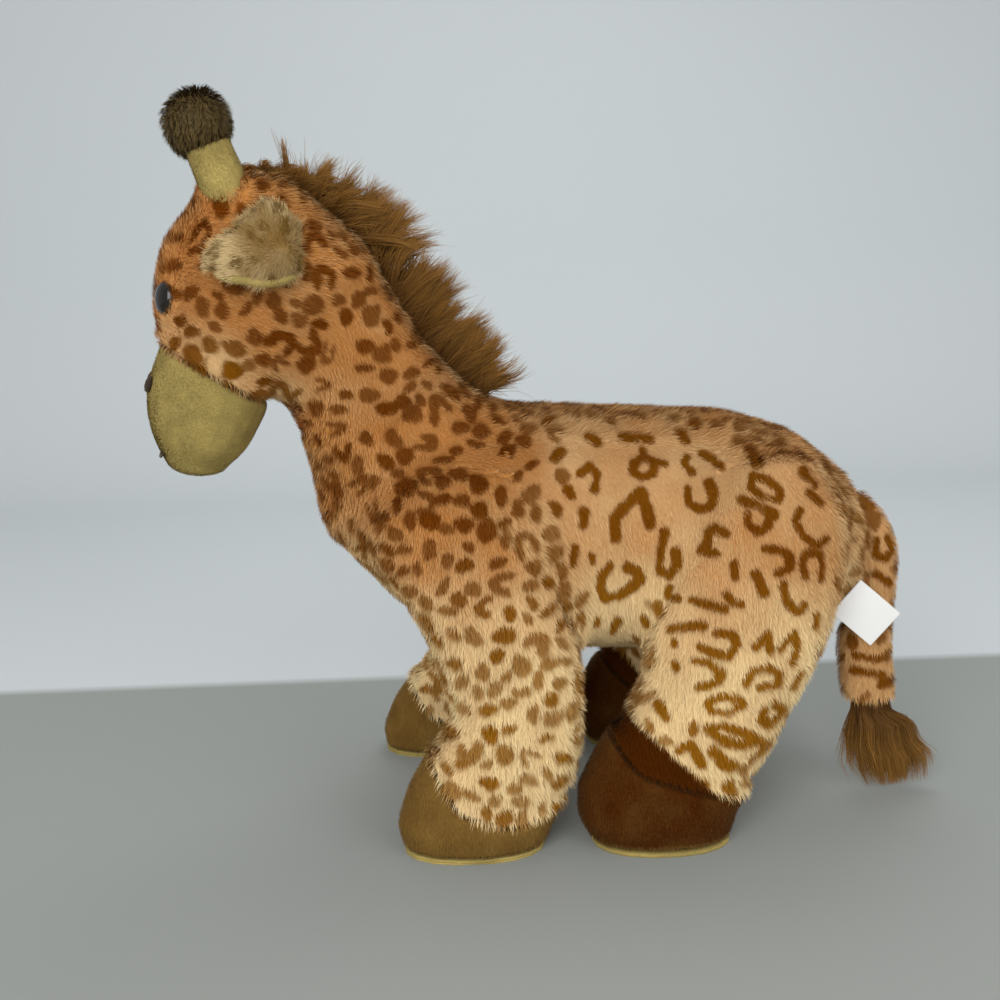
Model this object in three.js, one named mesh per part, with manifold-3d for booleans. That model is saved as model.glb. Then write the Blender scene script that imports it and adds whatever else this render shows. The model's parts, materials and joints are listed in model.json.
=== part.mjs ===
// A standing plush giraffe, made of sewn and stuffed pieces that lie against each other.
// Millimetres, +Z up. The head points to -X and the giraffe's left side faces -Y.
// Each stuffed piece is one soft form, cut back by the larger piece that it is sewn to.
import * as THREE from 'three';
import Module from 'manifold-3d';
import { mergeVertices } from 'three/addons/utils/BufferGeometryUtils.js';

const wasm = await Module();
wasm.setup();

// Clearances
const gap = 0.3; // between two pieces that touch
const swingGap = 0.6; // between a piece and what it swings past
const overrun = 400; // how far a cutting block reaches past what it cuts

// Torso
const bodyLength = 420;
const bodyHeight = 185;
const bodyWidth = 165;
const bellyHeight = 119; // floor to belly
const bellyPanelWidth = 84;
const bellyPanelThickness = 5;

// Neck, from the withers to the pivot behind the jaw
const neckRise = 99;
const neckReach = 62;
const neckDepth = 120;
const neckWidth = 102;
const neckPivotRadius = 56;

// Head and muzzle
const headLength = 129;
const headHeight = 170;
const headWidth = 114;
const headTurn = 13.8; // degrees, towards the giraffe's left
const headTilt = 4; // degrees, left ear down
const nodDown = 12; // degrees
const nodUp = 8; // degrees
const muzzleLength = 78;
const muzzleDepth = 92;
const muzzleWidth = 90;

// Eyes, nostrils and mouth
const eyeDiameter = 24;
const eyeBulge = 5;
const eyeSpacing = 50;
const eyeShankDiameter = 6;
const eyeShankLength = 16;
const eyeWasherDiameter = 20;
const eyeWasherThickness = 2;
const nostrilHeight = 13;
const nostrilWidth = 8;
const nostrilRelief = 3;
const nostrilSpacing = 30;
const mouthSpan = 44;
const mouthThread = 2.4;

// Horns
const hornSpacing = 51;
const hornLength = 50; // stem, from inside the head to the knob
const hornTopDiameter = 31;
const hornBaseDiameter = 36;
const hornLean = 19; // degrees forward
const knobDiameter = 48;
const knobHeight = 46;

// Ears
const earLength = 66;
const earWidth = 58;
const earThickness = 6;
const earLiningThickness = 2.5;
const earFold = 62; // degrees of arc on each side of the ear's middle line
const earFlopDown = 15; // degrees
const earFlopUp = 20; // degrees

// Mane and tail
const maneHeight = 48;
const maneThickness = 26;
const tailLength = 150;
const tailWidth = 42;
const tailThickness = 34;
const tuftLength = 70;
const tuftSpread = 68;
const tuftThickness = 30;
const tailLift = 40; // degrees

// Legs
const stance = 182; // left hoof centre to right hoof centre
const legWidth = 66;
const legTop = 262; // floor to the top of the sewn-on thigh
const legSpacing = 200; // shoulder pivot to hip pivot
const foreThighDepth = 140;
const foreShankDepth = 109;
const foreHoofLength = 114;
const hindThighDepth = 137;
const hindShankDepth = 132;
const hindHoofLength = 117;
const cuffHeight = 72;
const soleThickness = 3;
const farForeLean = -30; // how far the right hoof stands ahead of the left one
const farHindLean = 12;
const legSwingOut = 12; // degrees, away from the belly
const legSwingIn = 0.7; // degrees, towards the belly, until hoof meets leg

// Sewn-in label
const labelLength = 40;
const labelWidth = 32;
const labelThickness = 0.8;
const labelTurn = -42; // degrees from level

const rad = THREE.MathUtils.degToRad;

// Solids

/** Manifold solid of an indexed triangle list, turned right side out. */
function solidOf(points, triangles) {
  let volume = 0;
  for (let i = 0; i < triangles.length; i += 3) {
    const [a, b, c] = [0, 1, 2].map((k) => points[triangles[i + k]]);
    volume += a.dot(new THREE.Vector3().crossVectors(b, c));
  }
  const triVerts = Uint32Array.from(volume < 0 ? [...triangles].reverse() : triangles);
  const vertProperties = Float32Array.from(points.flatMap((p) => [p.x, p.y, p.z]));
  return new wasm.Manifold(new wasm.Mesh({ numProp: 3, vertProperties, triVerts }));
}

/** Manifold solid of a closed three.js geometry. */
function solidOfGeometry(geometry, matrix = new THREE.Matrix4()) {
  const bare = geometry.clone().applyMatrix4(matrix);
  bare.deleteAttribute('normal');
  bare.deleteAttribute('uv');
  const merged = mergeVertices(bare, gap / 1000);
  const position = merged.getAttribute('position');
  const points = [];
  for (let i = 0; i < position.count; i += 1) {
    points.push(new THREE.Vector3().fromBufferAttribute(position, i));
  }
  const whole = [];
  const index = [...merged.getIndex().array];
  for (let i = 0; i < index.length; i += 3) {
    const [a, b, c] = index.slice(i, i + 3);
    if (a !== b && b !== c && c !== a) whole.push(a, b, c);
  }
  return solidOf(points, whole);
}

function geometryOf(solid) {
  const mesh = solid.getMesh();
  const geometry = new THREE.BufferGeometry();
  geometry.setAttribute('position', new THREE.BufferAttribute(mesh.vertProperties, 3));
  geometry.setIndex(new THREE.BufferAttribute(mesh.triVerts, 1));
  geometry.computeVertexNormals();
  return geometry;
}

/** Moves and turns a solid by a three.js matrix. */
function placed(solid, matrix) {
  return solidOfGeometry(geometryOf(solid), matrix);
}

function joined(...solids) {
  return solids.reduce((sum, next) => sum.add(next));
}

function box(width, depth, height, x, y, z) {
  const geometry = new THREE.BoxGeometry(width, depth, height);
  return solidOfGeometry(geometry, new THREE.Matrix4().makeTranslation(x, y, z));
}

/** Flat plate with the outline given in x and z, as thick as depth in y and centred there. */
function plateXZ(outline, depth) {
  const shape = new THREE.Shape(outline.map(([x, z]) => new THREE.Vector2(x, z)));
  const plate = new THREE.ExtrudeGeometry(shape, { depth, bevelEnabled: false });
  plate.translate(0, 0, -depth / 2);
  return solidOfGeometry(plate, new THREE.Matrix4().makeRotationX(Math.PI / 2));
}

/** Round bar along y, for pivots that turn about y. */
function barY(radius, length, facets) {
  return solidOfGeometry(new THREE.CylinderGeometry(radius, radius, length, facets));
}

// Soft forms

/** Smooth value between the entries of a list, at a place counted in entries. */
function smooth(values, place) {
  const last = values.length - 1;
  const i = Math.min(Math.floor(place), last - 1);
  const t = place - i;
  const p0 = values[Math.max(i - 1, 0)];
  const p1 = values[i];
  const p2 = values[i + 1];
  const p3 = values[Math.min(i + 2, last)];
  const rise = (p2 - p0) / 2;
  const run = (p3 - p1) / 2;
  return p1 + t * (rise + t * (3 * (p2 - p1) - 2 * rise - run + t * (2 * (p1 - p2) + rise + run)));
}

const signedPower = (value, power) => Math.sign(value) * Math.abs(value) ** power;

/**
 * A stuffed form: rounded sections from row to row, closed by a rounded cap at each end.
 * A row has its front and back point as [x, z], its middle y, and its half width in y.
 */
class SoftForm {
  constructor(rows, { startCap, endCap, steps = 2, around = 20, squareness = 2.4 }) {
    this.fields = [
      rows.map((row) => row.front[0]),
      rows.map((row) => row.front[1]),
      rows.map((row) => row.back[0]),
      rows.map((row) => row.back[1]),
      rows.map((row) => row.y),
      rows.map((row) => row.half),
    ];
    Object.assign(this, { startCap, endCap, steps, around, squareness });
    this.last = rows.length - 1;
  }

  /** Place, counted in rows, at a share of the way from the first row to the last. */
  at(share) {
    return share * this.last;
  }

  section(place) {
    const [frontX, frontZ, backX, backZ, y, half] = this.fields.map((field) => smooth(field, place));
    const across = new THREE.Vector3(backX - frontX, 0, backZ - frontZ);
    const centre = new THREE.Vector3((frontX + backX) / 2, y, (frontZ + backZ) / 2);
    return { centre, deep: across.length() / 2, half, across: across.normalize() };
  }

  /** Point of the skin; angle 0 is the back, 90 the right (+Y) side and 180 the front. */
  point(place, degrees, grow = 0) {
    const { centre, deep, half, across } = this.section(place);
    return this.onSection(centre, across, deep + grow, half + grow, rad(degrees));
  }

  /** Direction straight out of the skin. */
  normal(place, degrees) {
    const step = 0.02;
    const low = Math.max(place - step, 0);
    const high = Math.min(place + step, this.last);
    const along = this.point(high, degrees).sub(this.point(low, degrees));
    const round = this.point(place, degrees + 1).sub(this.point(place, degrees - 1));
    const out = along.cross(round).normalize();
    const away = this.point(place, degrees).sub(this.section(place).centre);
    return out.dot(away) < 0 ? out.negate() : out;
  }

  onSection(centre, across, deep, half, angle) {
    const power = 2 / this.squareness;
    const u = signedPower(Math.cos(angle), power) * deep;
    const v = signedPower(Math.sin(angle), power) * half;
    return centre.clone().addScaledVector(across, u).add(new THREE.Vector3(0, v, 0));
  }

  solid(grow = 0) {
    const capSteps = 3;
    const points = [];
    const ring = (place, shift, scale) => {
      const { centre, deep, half, across } = this.section(place);
      centre.add(shift);
      for (let k = 0; k < this.around; k += 1) {
        const angle = (2 * Math.PI * k) / this.around;
        points.push(this.onSection(centre, across, (deep + grow) * scale, (half + grow) * scale, angle));
      }
    };
    const heading = (from, to) => this.section(to).centre.sub(this.section(from).centre).normalize();
    const startWay = heading(0.2, 0);
    const endWay = heading(this.last - 0.2, this.last);
    const capAngle = (k) => (k / capSteps) * (Math.PI / 2);
    for (let k = capSteps - 1; k > 0; k -= 1) {
      const reach = (this.startCap + grow) * Math.sin(capAngle(k));
      ring(0, startWay.clone().multiplyScalar(reach), Math.cos(capAngle(k)));
    }
    for (let k = 0; k <= this.last * this.steps; k += 1) {
      ring(k / this.steps, new THREE.Vector3(), 1);
    }
    for (let k = 1; k < capSteps; k += 1) {
      const reach = (this.endCap + grow) * Math.sin(capAngle(k));
      ring(this.last, endWay.clone().multiplyScalar(reach), Math.cos(capAngle(k)));
    }
    const rings = points.length / this.around;
    points.push(this.section(0).centre.addScaledVector(startWay, this.startCap + grow));
    points.push(this.section(this.last).centre.addScaledVector(endWay, this.endCap + grow));
    return solidOf(points, this.faces(rings, points.length - 2, points.length - 1));
  }

  faces(rings, startPole, endPole) {
    const triangles = [];
    for (let k = 0; k < this.around; k += 1) {
      const next = (k + 1) % this.around;
      triangles.push(startPole, next, k);
      for (let r = 0; r + 1 < rings; r += 1) {
        const low = r * this.around;
        const high = low + this.around;
        triangles.push(low + k, low + next, high + k, low + next, high + next, high + k);
      }
      const top = (rings - 1) * this.around;
      triangles.push(top + k, top + next, endPole);
    }
    return triangles;
  }
}

const alongY = new THREE.Vector3(0, 1, 0);

const sweepStep = 6; // degrees at most, between two stops of a sweep

/** Everything that a solid passes through as it turns about an axis, at even stops. */
function swept(solid, pivot, axis, fromDegrees, toDegrees) {
  const stops = Math.ceil(Math.abs(toDegrees - fromDegrees) / sweepStep);
  const turned = [solid];
  for (let k = 0; k <= stops; k += 1) {
    const degrees = fromDegrees + ((toDegrees - fromDegrees) * k) / stops;
    const matrix = new THREE.Matrix4().makeTranslation(pivot.x, pivot.y, pivot.z);
    matrix.multiply(new THREE.Matrix4().makeRotationAxis(axis, rad(degrees)));
    matrix.multiply(new THREE.Matrix4().makeTranslation(-pivot.x, -pivot.y, -pivot.z));
    turned.push(placed(solid, matrix));
  }
  return joined(...turned);
}

// Scene and materials

const giraffe = new THREE.Group();

function material(color, roughness) {
  return new THREE.MeshStandardMaterial({ color, roughness, metalness: 0 });
}

const spottedPlush = material(0xcf9a62, 0.95);
const creamPlush = material(0xe9dcc0, 0.95);
const tanVelour = material(0xc0a56c, 0.9);
const brownVelour = material(0x6b4420, 0.9);
const knobPlush = material(0x5f4a2d, 0.95);
const longHair = material(0x8a6228, 0.85);
const eyePlastic = material(0x160f0a, 0.15);
const washerPlastic = material(0xe8e8e4, 0.5);
const darkThread = material(0x2b1c12, 0.8);
const satin = material(0xf2f2f0, 0.45);

function addPiece(parent, name, solid, pieceMaterial) {
  const mesh = new THREE.Mesh(geometryOf(solid), pieceMaterial);
  mesh.name = name;
  parent.add(mesh);
}

// Torso. Rows are [along, top, bottom, width] as shares of its length, height and width.
const torsoShares = [
  [0.07, 0.9, 0.44, 0.6],
  [0.155, 0.98, 0.22, 0.82],
  [0.275, 1.03, 0.05, 0.95],
  [0.42, 1.02, 0, 0.98],
  [0.585, 0.995, -0.01, 0.98],
  [0.75, 0.965, 0.02, 0.95],
  [0.87, 0.88, 0.05, 0.83],
  [0.95, 0.72, 0.11, 0.62],
];
const chestShare = 0.275; // of the torso's length, ahead of the shoulder pivot
const chestCapShare = 0.06; // of the torso's length, the rounded front end
const rumpCapShare = 0.05; // of the torso's length, the rounded back end
const torso = new SoftForm(
  torsoShares.map(([along, top, bottom, width]) => {
    const x = (along - chestShare) * bodyLength;
    const back = [x, bellyHeight + top * bodyHeight];
    return { front: [x, bellyHeight + bottom * bodyHeight], back, y: 0, half: (width * bodyWidth) / 2 };
  }),
  { startCap: chestCapShare * bodyLength, endCap: rumpCapShare * bodyLength, steps: 1, around: 20 },
);

// The belly panel's widths from end to end, and where it starts and ends along the torso.
const leafShares = [0.05, 0.5, 0.86, 1, 1, 0.86, 0.5, 0.05];
const leafStartShare = 0.09;
const leafEndShare = 0.93;

/** The cream panel sewn in along the belly: an upright leaf shape that cuts the torso's underside. */
function bellyLeaf(grow) {
  const rows = leafShares.map((share, k) => {
    const along = leafStartShare + ((leafEndShare - leafStartShare) * k) / (leafShares.length - 1);
    const x = (along - chestShare) * bodyLength;
    return [x, (share * bellyPanelWidth) / 2 + grow];
  });
  const outline = [...rows, ...rows.toReversed().map(([x, half]) => [x, -half])];
  const shape = new THREE.Shape(outline.map(([x, y]) => new THREE.Vector2(x, y)));
  const depth = bellyHeight + bodyHeight / 2;
  return solidOfGeometry(new THREE.ExtrudeGeometry(shape, { depth, bevelEnabled: false }));
}

const raised = (solid, rise) => placed(solid, new THREE.Matrix4().makeTranslation(0, 0, rise));
const torsoWhole = torso.solid();
const bellyPanel = torsoWhole
  .intersect(bellyLeaf(0))
  .subtract(raised(torso.solid(), bellyPanelThickness));
const bellyCut = bellyLeaf(gap).subtract(raised(torso.solid(), bellyPanelThickness + gap));
addPiece(giraffe, 'torso', torsoWhole.subtract(bellyCut), spottedPlush);
addPiece(giraffe, 'belly_panel', bellyPanel, creamPlush);

// Neck. Its pivot lies behind the jaw; the head is modelled from there, turned a little to the left.
const witherShare = 0.215; // of the torso's length
const neckFootShare = 0.76; // of the torso's height
const pivot = new THREE.Vector3(
  (witherShare - chestShare) * bodyLength - neckReach,
  0,
  bellyHeight + neckFootShare * bodyHeight + neckRise,
);
const headPlace = new THREE.Matrix4().makeTranslation(pivot.x, pivot.y, pivot.z);
headPlace.multiply(new THREE.Matrix4().makeRotationZ(rad(headTurn)));
headPlace.multiply(new THREE.Matrix4().makeRotationX(rad(headTilt)));

// Rows are [front x, front z, back x, back z, width], as shares of the neck's depth, rise and width.
const neckShares = [
  [0.06, -1.4, 1.18, -0.66, 1.05],
  [-0.17, -1.07, 0.86, -0.37, 1.24],
  [-0.26, -0.7, 0.6, -0.06, 1.1],
  [-0.34, -0.44, 0.36, 0.45, 1],
  [-0.44, -0.26, 0.16, 0.72, 1],
];
const neckRows = neckShares.map(([frontX, frontZ, backX, backZ, width]) => ({
  front: [frontX * neckDepth, frontZ * neckRise],
  back: [backX * neckDepth, backZ * neckRise],
  y: 0,
  half: (width * neckWidth) / 2,
}));
const neckCapShare = 0.17; // of the neck's depth, the rounded end inside the head
const neck = new SoftForm(neckRows, { startCap: gap, endCap: neckCapShare * neckDepth, around: 18 });

// Angles of the neck's back and front edge at the pivot, in degrees from +X towards +Z.
const jointRow = neckRows[3];
const napeAngle = THREE.MathUtils.radToDeg(Math.atan2(jointRow.back[1], jointRow.back[0]));
const throatAngle = 360 + THREE.MathUtils.radToDeg(Math.atan2(jointRow.front[1], jointRow.front[0]));

/** A wedge about the pivot, from one angle to another, which reaches past the head. */
function wedge(fromDegrees, toDegrees) {
  const stops = 6;
  const outline = [[0, 0]];
  for (let k = 0; k <= stops; k += 1) {
    const angle = rad(fromDegrees + ((toDegrees - fromDegrees) * k) / stops);
    outline.push([overrun * Math.cos(angle), overrun * Math.sin(angle)]);
  }
  return plateXZ(outline, overrun);
}

const pivotFacets = 32;
const pivotBar = barY(neckPivotRadius, overrun, pivotFacets);
const pivotBore = barY(neckPivotRadius + gap, overrun, pivotFacets);
const headSide = placed(wedge(napeAngle, throatAngle), headPlace);
const neckAt = new THREE.Matrix4().makeTranslation(pivot.x, pivot.y, pivot.z);
const neckSolid = placed(neck.solid(), neckAt)
  .subtract(torso.solid(gap))
  .subtract(headSide)
  .subtract(placed(pivotBore, headPlace));
addPiece(giraffe, 'neck', neckSolid, spottedPlush);

// Head, from the crown down to the muzzle's seam. Shares of its length, height and width.
const headShares = [
  [-0.74, 0.6, -0.1, 0.62, 0.74],
  [-0.91, 0.45, 0.18, 0.43, 0.94],
  [-0.985, 0.27, 0.3, 0.25, 1],
  [-1, 0.155, 0.06, 0.03, 0.98],
  [-0.985, 0.03, -0.36, -0.25, 0.8],
];
const crownCapShare = 0.12; // of the head's height
const chinCapShare = 0.05;
const head = new SoftForm(
  headShares.map(([frontX, frontZ, backX, backZ, width]) => ({
    front: [frontX * headLength, frontZ * headHeight],
    back: [backX * headLength, backZ * headHeight],
    y: 0,
    half: (width * headWidth) / 2,
  })),
  { startCap: crownCapShare * headHeight, endCap: chinCapShare * headHeight },
);

// The muzzle's seam is a slanted plane across the head's lower end.
// It runs through two points, given as shares of the head's length and height.
const seamFrontShares = [-1, 0.05];
const seamBackShares = [-0.4, -0.25];
const seamPoint = ([x, z]) => new THREE.Vector2(x * headLength, z * headHeight);
const seamFront = seamPoint(seamFrontShares);
const seamBack = seamPoint(seamBackShares);
const seamWay = seamBack.clone().sub(seamFront).normalize();
const seamOut = new THREE.Vector2(seamWay.y, -seamWay.x); // out of the head
const seamMiddle = seamFront.clone().lerp(seamBack, 0.5);

/** Block of everything on the muzzle's side of the seam, moved out by a shift. */
function belowSeam(shift) {
  const middle = seamMiddle.clone().addScaledVector(seamOut, shift);
  const a = middle.clone().addScaledVector(seamWay, -overrun);
  const b = middle.clone().addScaledVector(seamWay, overrun);
  const c = b.clone().addScaledVector(seamOut, overrun);
  const d = a.clone().addScaledVector(seamOut, overrun);
  return plateXZ([a, b, c, d].map((p) => [p.x, p.y]), overrun);
}

// Muzzle rows are [along, front, back, width]: along the seam's normal, then from its middle.
const muzzleShares = [
  [-0.12, -0.42, 0.46, 0.9],
  [0.08, -0.44, 0.5, 0.98],
  [0.38, -0.44, 0.46, 1],
  [0.66, -0.33, 0.42, 0.92],
  [0.88, -0.18, 0.33, 0.66],
];
const muzzleTipShare = 0.13; // of the muzzle's length, its rounded end
const muzzleDroop = 28; // degrees, how far the muzzle hangs down from the seam's normal
const muzzleOut = seamOut.clone().rotateAround(new THREE.Vector2(), rad(muzzleDroop / 2));
const muzzle = new SoftForm(
  muzzleShares.map(([along, front, back, width]) => {
    const middle = seamMiddle.clone().addScaledVector(muzzleOut, along * muzzleLength);
    const turn = rad(muzzleDroop * Math.max(along, 0));
    const way = seamWay.clone().rotateAround(new THREE.Vector2(), turn);
    const frontPoint = middle.clone().addScaledVector(way, front * muzzleDepth);
    const backPoint = middle.clone().addScaledVector(way, back * muzzleDepth);
    const half = (width * muzzleWidth) / 2;
    return { front: frontPoint.toArray(), back: backPoint.toArray(), y: 0, half };
  }),
  { startCap: gap, endCap: muzzleTipShare * muzzleLength, around: 18, squareness: 2.2 },
);
const muzzleSolid = muzzle.solid().intersect(belowSeam(gap));

// The head stops short of the neck by the angles that it nods through, so the two never meet.
const headFromJoint = wedge(napeAngle + nodUp + 1, throatAngle - nodDown - 1);
const neckTop = neck.solid();
const headCore = joined(
  head.solid().intersect(headFromJoint),
  neckTop.intersect(headFromJoint),
  pivotBar.intersect(joined(head.solid(), neckTop)),
);
const headBlank = headCore.subtract(belowSeam(0));

const headGroup = new THREE.Group();
headGroup.applyMatrix4(headPlace);
giraffe.add(headGroup);

/** Matrix that puts +Z along a direction, at a point. */
function standing(point, direction) {
  const turn = new THREE.Quaternion().setFromUnitVectors(new THREE.Vector3(0, 0, 1), direction);
  return new THREE.Matrix4().compose(point, turn, new THREE.Vector3(1, 1, 1));
}

/** Turned solid from a profile of [radius, height] points that starts and ends on the axis. */
function turned(profile, facets) {
  const lathe = new THREE.LatheGeometry(profile.map(([r, h]) => new THREE.Vector2(r, h)), facets);
  return solidOfGeometry(lathe, new THREE.Matrix4().makeRotationX(Math.PI / 2));
}

/** Angle round a soft form at which its skin is y to the side, near its front. */
function angleAtY(form, place, y) {
  const { half } = form.section(place);
  const sine = signedPower(THREE.MathUtils.clamp(y / half, -1, 1), form.squareness / 2);
  return 180 - THREE.MathUtils.radToDeg(Math.asin(sine));
}

// Eyes: a plastic dome on the skin, its shank through the skin, a washer on it inside.
const eyeDownShare = 0.5875; // of the way down the head
const eyePlace = head.at(eyeDownShare);
const eyeRadius = eyeDiameter / 2;
const domeSteps = 4;
const domeProfile = [[0, -eyeBulge / 3]];
for (let k = 0; k <= domeSteps; k += 1) {
  const angle = (k / domeSteps) * (Math.PI / 2);
  const radius = k === domeSteps ? 0 : eyeRadius * Math.cos(angle);
  if (k === 0) domeProfile.push([radius, -eyeBulge / 3]);
  domeProfile.push([radius, eyeBulge * Math.sin(angle)]);
}
const washerDepth = eyeShankLength - 2 * eyeWasherThickness;
let headSolid = headBlank;
const eyeFacets = 14;
for (const [name, side] of [['left', -1], ['right', 1]]) {
  const angle = angleAtY(head, eyePlace, (side * eyeSpacing) / 2);
  const at = standing(head.point(eyePlace, angle), head.normal(eyePlace, angle));
  const post = (radius, low, high) => {
    return turned([[0, low], [radius, low], [radius, high], [0, high]], eyeFacets);
  };
  const ring = (inner, outer, low, high) => {
    return turned([[inner, low], [outer, low], [outer, high], [inner, high], [inner, low]], eyeFacets);
  };
  const shankRadius = eyeShankDiameter / 2;
  const shank = post(shankRadius, -eyeShankLength, eyeBulge / 3);
  const dome = placed(turned(domeProfile, eyeFacets), at).subtract(head.solid(gap));
  const washerTop = eyeWasherThickness - washerDepth;
  const washer = ring(shankRadius + gap, eyeWasherDiameter / 2, -washerDepth, washerTop);
  const bore = post(shankRadius + gap, -eyeShankLength - gap, eyeBulge);
  const pocket = post(eyeWasherDiameter / 2 + gap, -washerDepth - gap, washerTop + gap);
  headSolid = headSolid.subtract(placed(joined(bore, pocket), at));
  addPiece(headGroup, `eye_${name}`, joined(dome, placed(shank, at)), eyePlastic);
  addPiece(headGroup, `eye_washer_${name}`, placed(washer, at), washerPlastic);
}
addPiece(headGroup, 'head', headSolid, spottedPlush);
addPiece(headGroup, 'muzzle', muzzleSolid, tanVelour);

// Nostrils: padded oval stitching on the muzzle.
const nostrilDownShare = 0.4375; // of the way down the muzzle
const nostrilPlace = muzzle.at(nostrilDownShare);
for (const [name, side] of [['left', -1], ['right', 1]]) {
  const angle = angleAtY(muzzle, nostrilPlace, (side * nostrilSpacing) / 2);
  const at = standing(muzzle.point(nostrilPlace, angle), muzzle.normal(nostrilPlace, angle));
  const oval = new THREE.SphereGeometry(1, 10, 6);
  oval.scale(nostrilHeight / 2, nostrilWidth / 2, nostrilRelief);
  addPiece(headGroup, `nostril_${name}`, solidOfGeometry(oval, at).subtract(muzzle.solid(gap)), darkThread);
}

// Mouth: one line of thick thread across the front of the muzzle.
const mouthDownShare = 0.9625; // of the way down the muzzle
const mouthCornerShare = 0.0875; // of the muzzle, by which the corners lie higher
const mouthStops = 7;
const mouthPath = [];
for (let k = 0; k < mouthStops; k += 1) {
  const share = (2 * k) / (mouthStops - 1) - 1;
  const place = muzzle.at(mouthDownShare - mouthCornerShare * share * share);
  const angle = angleAtY(muzzle, place, (share * mouthSpan) / 2);
  mouthPath.push(muzzle.point(place, angle, gap + mouthThread / 2));
}
const threadShape = new THREE.Shape();
const threadSides = 6;
for (let k = 0; k < threadSides; k += 1) {
  const angle = (2 * Math.PI * k) / threadSides;
  const [x, y] = [Math.cos(angle), Math.sin(angle)].map((v) => (v * mouthThread) / 2);
  if (k === 0) threadShape.moveTo(x, y);
  else threadShape.lineTo(x, y);
}
const threadPath = new THREE.CatmullRomCurve3(mouthPath);
const thread = new THREE.ExtrudeGeometry(threadShape, { steps: 10, extrudePath: threadPath });
addPiece(headGroup, 'mouth_thread', solidOfGeometry(thread).subtract(muzzle.solid(gap / 2)), darkThread);

// Horns: a velour stem that leans forward and a furry knob on it.
const hornFootShare = 0.53; // of the head's height, above the pivot
const hornBackShare = 0.5; // of the head's length, ahead of the pivot
const knobSeatShare = 0.33; // of the knob's height, from the stem's end to the knob's middle
const hornFacets = 16;
for (const [name, side] of [['left', -1], ['right', 1]]) {
  const foot = new THREE.Vector3(
    -hornBackShare * headLength,
    (side * hornSpacing) / 2,
    hornFootShare * headHeight,
  );
  const lean = new THREE.Vector3(-Math.sin(rad(hornLean)), 0, Math.cos(rad(hornLean)));
  const stem = (grow) => {
    const top = hornLength + grow;
    const profile = [[0, 0], [hornBaseDiameter / 2 + grow, 0], [hornTopDiameter / 2 + grow, top], [0, top]];
    return placed(turned(profile, hornFacets), standing(foot, lean));
  };
  const knobShape = new THREE.SphereGeometry(1, 16, 10);
  knobShape.scale(knobDiameter / 2, knobDiameter / 2, knobHeight / 2);
  const knobCentre = foot.clone().addScaledVector(lean, hornLength + knobSeatShare * knobHeight);
  const knob = solidOfGeometry(knobShape, standing(knobCentre, lean)).subtract(stem(gap));
  addPiece(headGroup, `horn_stem_${name}`, stem(0).subtract(head.solid(gap)), tanVelour);
  addPiece(headGroup, `horn_knob_${name}`, knob, knobPlush);
}

// Ears: a folded leaf with a thin lining on its hollow side, gathered at the root.
const earLeafShares = [0.42, 0.78, 0.98, 1, 0.86, 0.56, 0.16]; // half widths from root to tip
const earDownShare = 0.1; // of the way down the head
const earAngleShare = 0.88; // of a right angle, from the back round to the side
const earSweep = 54; // degrees forward from straight out
const earDrop = 40; // degrees down

/** A curved band along +X: inner and outer radius follow the leaf's width. */
function earBand(innerOffset, outerOffset, trim) {
  const arcSteps = 10;
  const rings = 8;
  const points = [];
  for (let r = 0; r <= rings; r += 1) {
    const share = r / rings;
    const half = (smooth(earLeafShares, share * (earLeafShares.length - 1)) * earWidth) / 2;
    const radius = half / Math.sin(rad(earFold));
    const x = share * (earLength - trim);
    const arc = rad(earFold) * (1 - trim / earWidth);
    for (const [offset, way] of [[outerOffset, 1], [innerOffset, -1]]) {
      for (let k = 0; k <= arcSteps; k += 1) {
        const angle = way * arc * ((2 * k) / arcSteps - 1);
        const reach = Math.max(radius + offset, earLiningThickness / 2);
        points.push(new THREE.Vector3(x, reach * Math.sin(angle), reach * Math.cos(angle) - radius));
      }
    }
  }
  const around = 2 * (arcSteps + 1);
  const triangles = [];
  for (let k = 0; k < around; k += 1) {
    const next = (k + 1) % around;
    for (let r = 0; r < rings; r += 1) {
      const low = r * around;
      const high = low + around;
      triangles.push(low + k, low + next, high + k, low + next, high + next, high + k);
    }
  }
  for (let k = 0; k < arcSteps; k += 1) {
    const quad = [k, k + 1, around - 1 - k, around - 2 - k];
    const [a, b, c, d] = quad;
    triangles.push(a, c, b, b, c, d);
    const [e, f, g, h] = quad.map((v) => v + rings * around);
    triangles.push(e, f, g, f, h, g);
  }
  return solidOf(points, triangles);
}

for (const [name, side] of [['left', -1], ['right', 1]]) {
  const angle = side * 90 * earAngleShare;
  const root = head.point(head.at(earDownShare), angle);
  const out = new THREE.Vector3(
    -Math.sin(rad(earSweep)) * Math.cos(rad(earDrop)),
    side * Math.cos(rad(earSweep)) * Math.cos(rad(earDrop)),
    -Math.sin(rad(earDrop)),
  );
  const hollow = new THREE.Vector3(0, -side, -1).normalize(); // the hollow side looks in and down
  const widthWay = new THREE.Vector3().crossVectors(out, hollow).normalize();
  const crown = new THREE.Vector3().crossVectors(out, widthWay);
  if (crown.z < 0) crown.negate();
  const acrossWay = new THREE.Vector3().crossVectors(crown, out);
  const earAt = new THREE.Matrix4().makeBasis(out, acrossWay, crown);
  earAt.setPosition(root.clone().addScaledVector(out, -2 * gap));
  const flopAxis = new THREE.Vector3(out.y, -out.x, 0).normalize();
  const clear = swept(head.solid(swingGap), root, flopAxis, -earFlopUp, earFlopDown);
  const outer = placed(earBand(0, earThickness, 0), earAt).subtract(clear);
  const liningBand = earBand(-2 * gap - earLiningThickness, -2 * gap, 2 * earLiningThickness);
  const lining = placed(liningBand, earAt).subtract(clear);
  addPiece(headGroup, `ear_${name}`, outer, creamPlush);
  addPiece(headGroup, `ear_lining_${name}`, lining, tanVelour);
}

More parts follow.
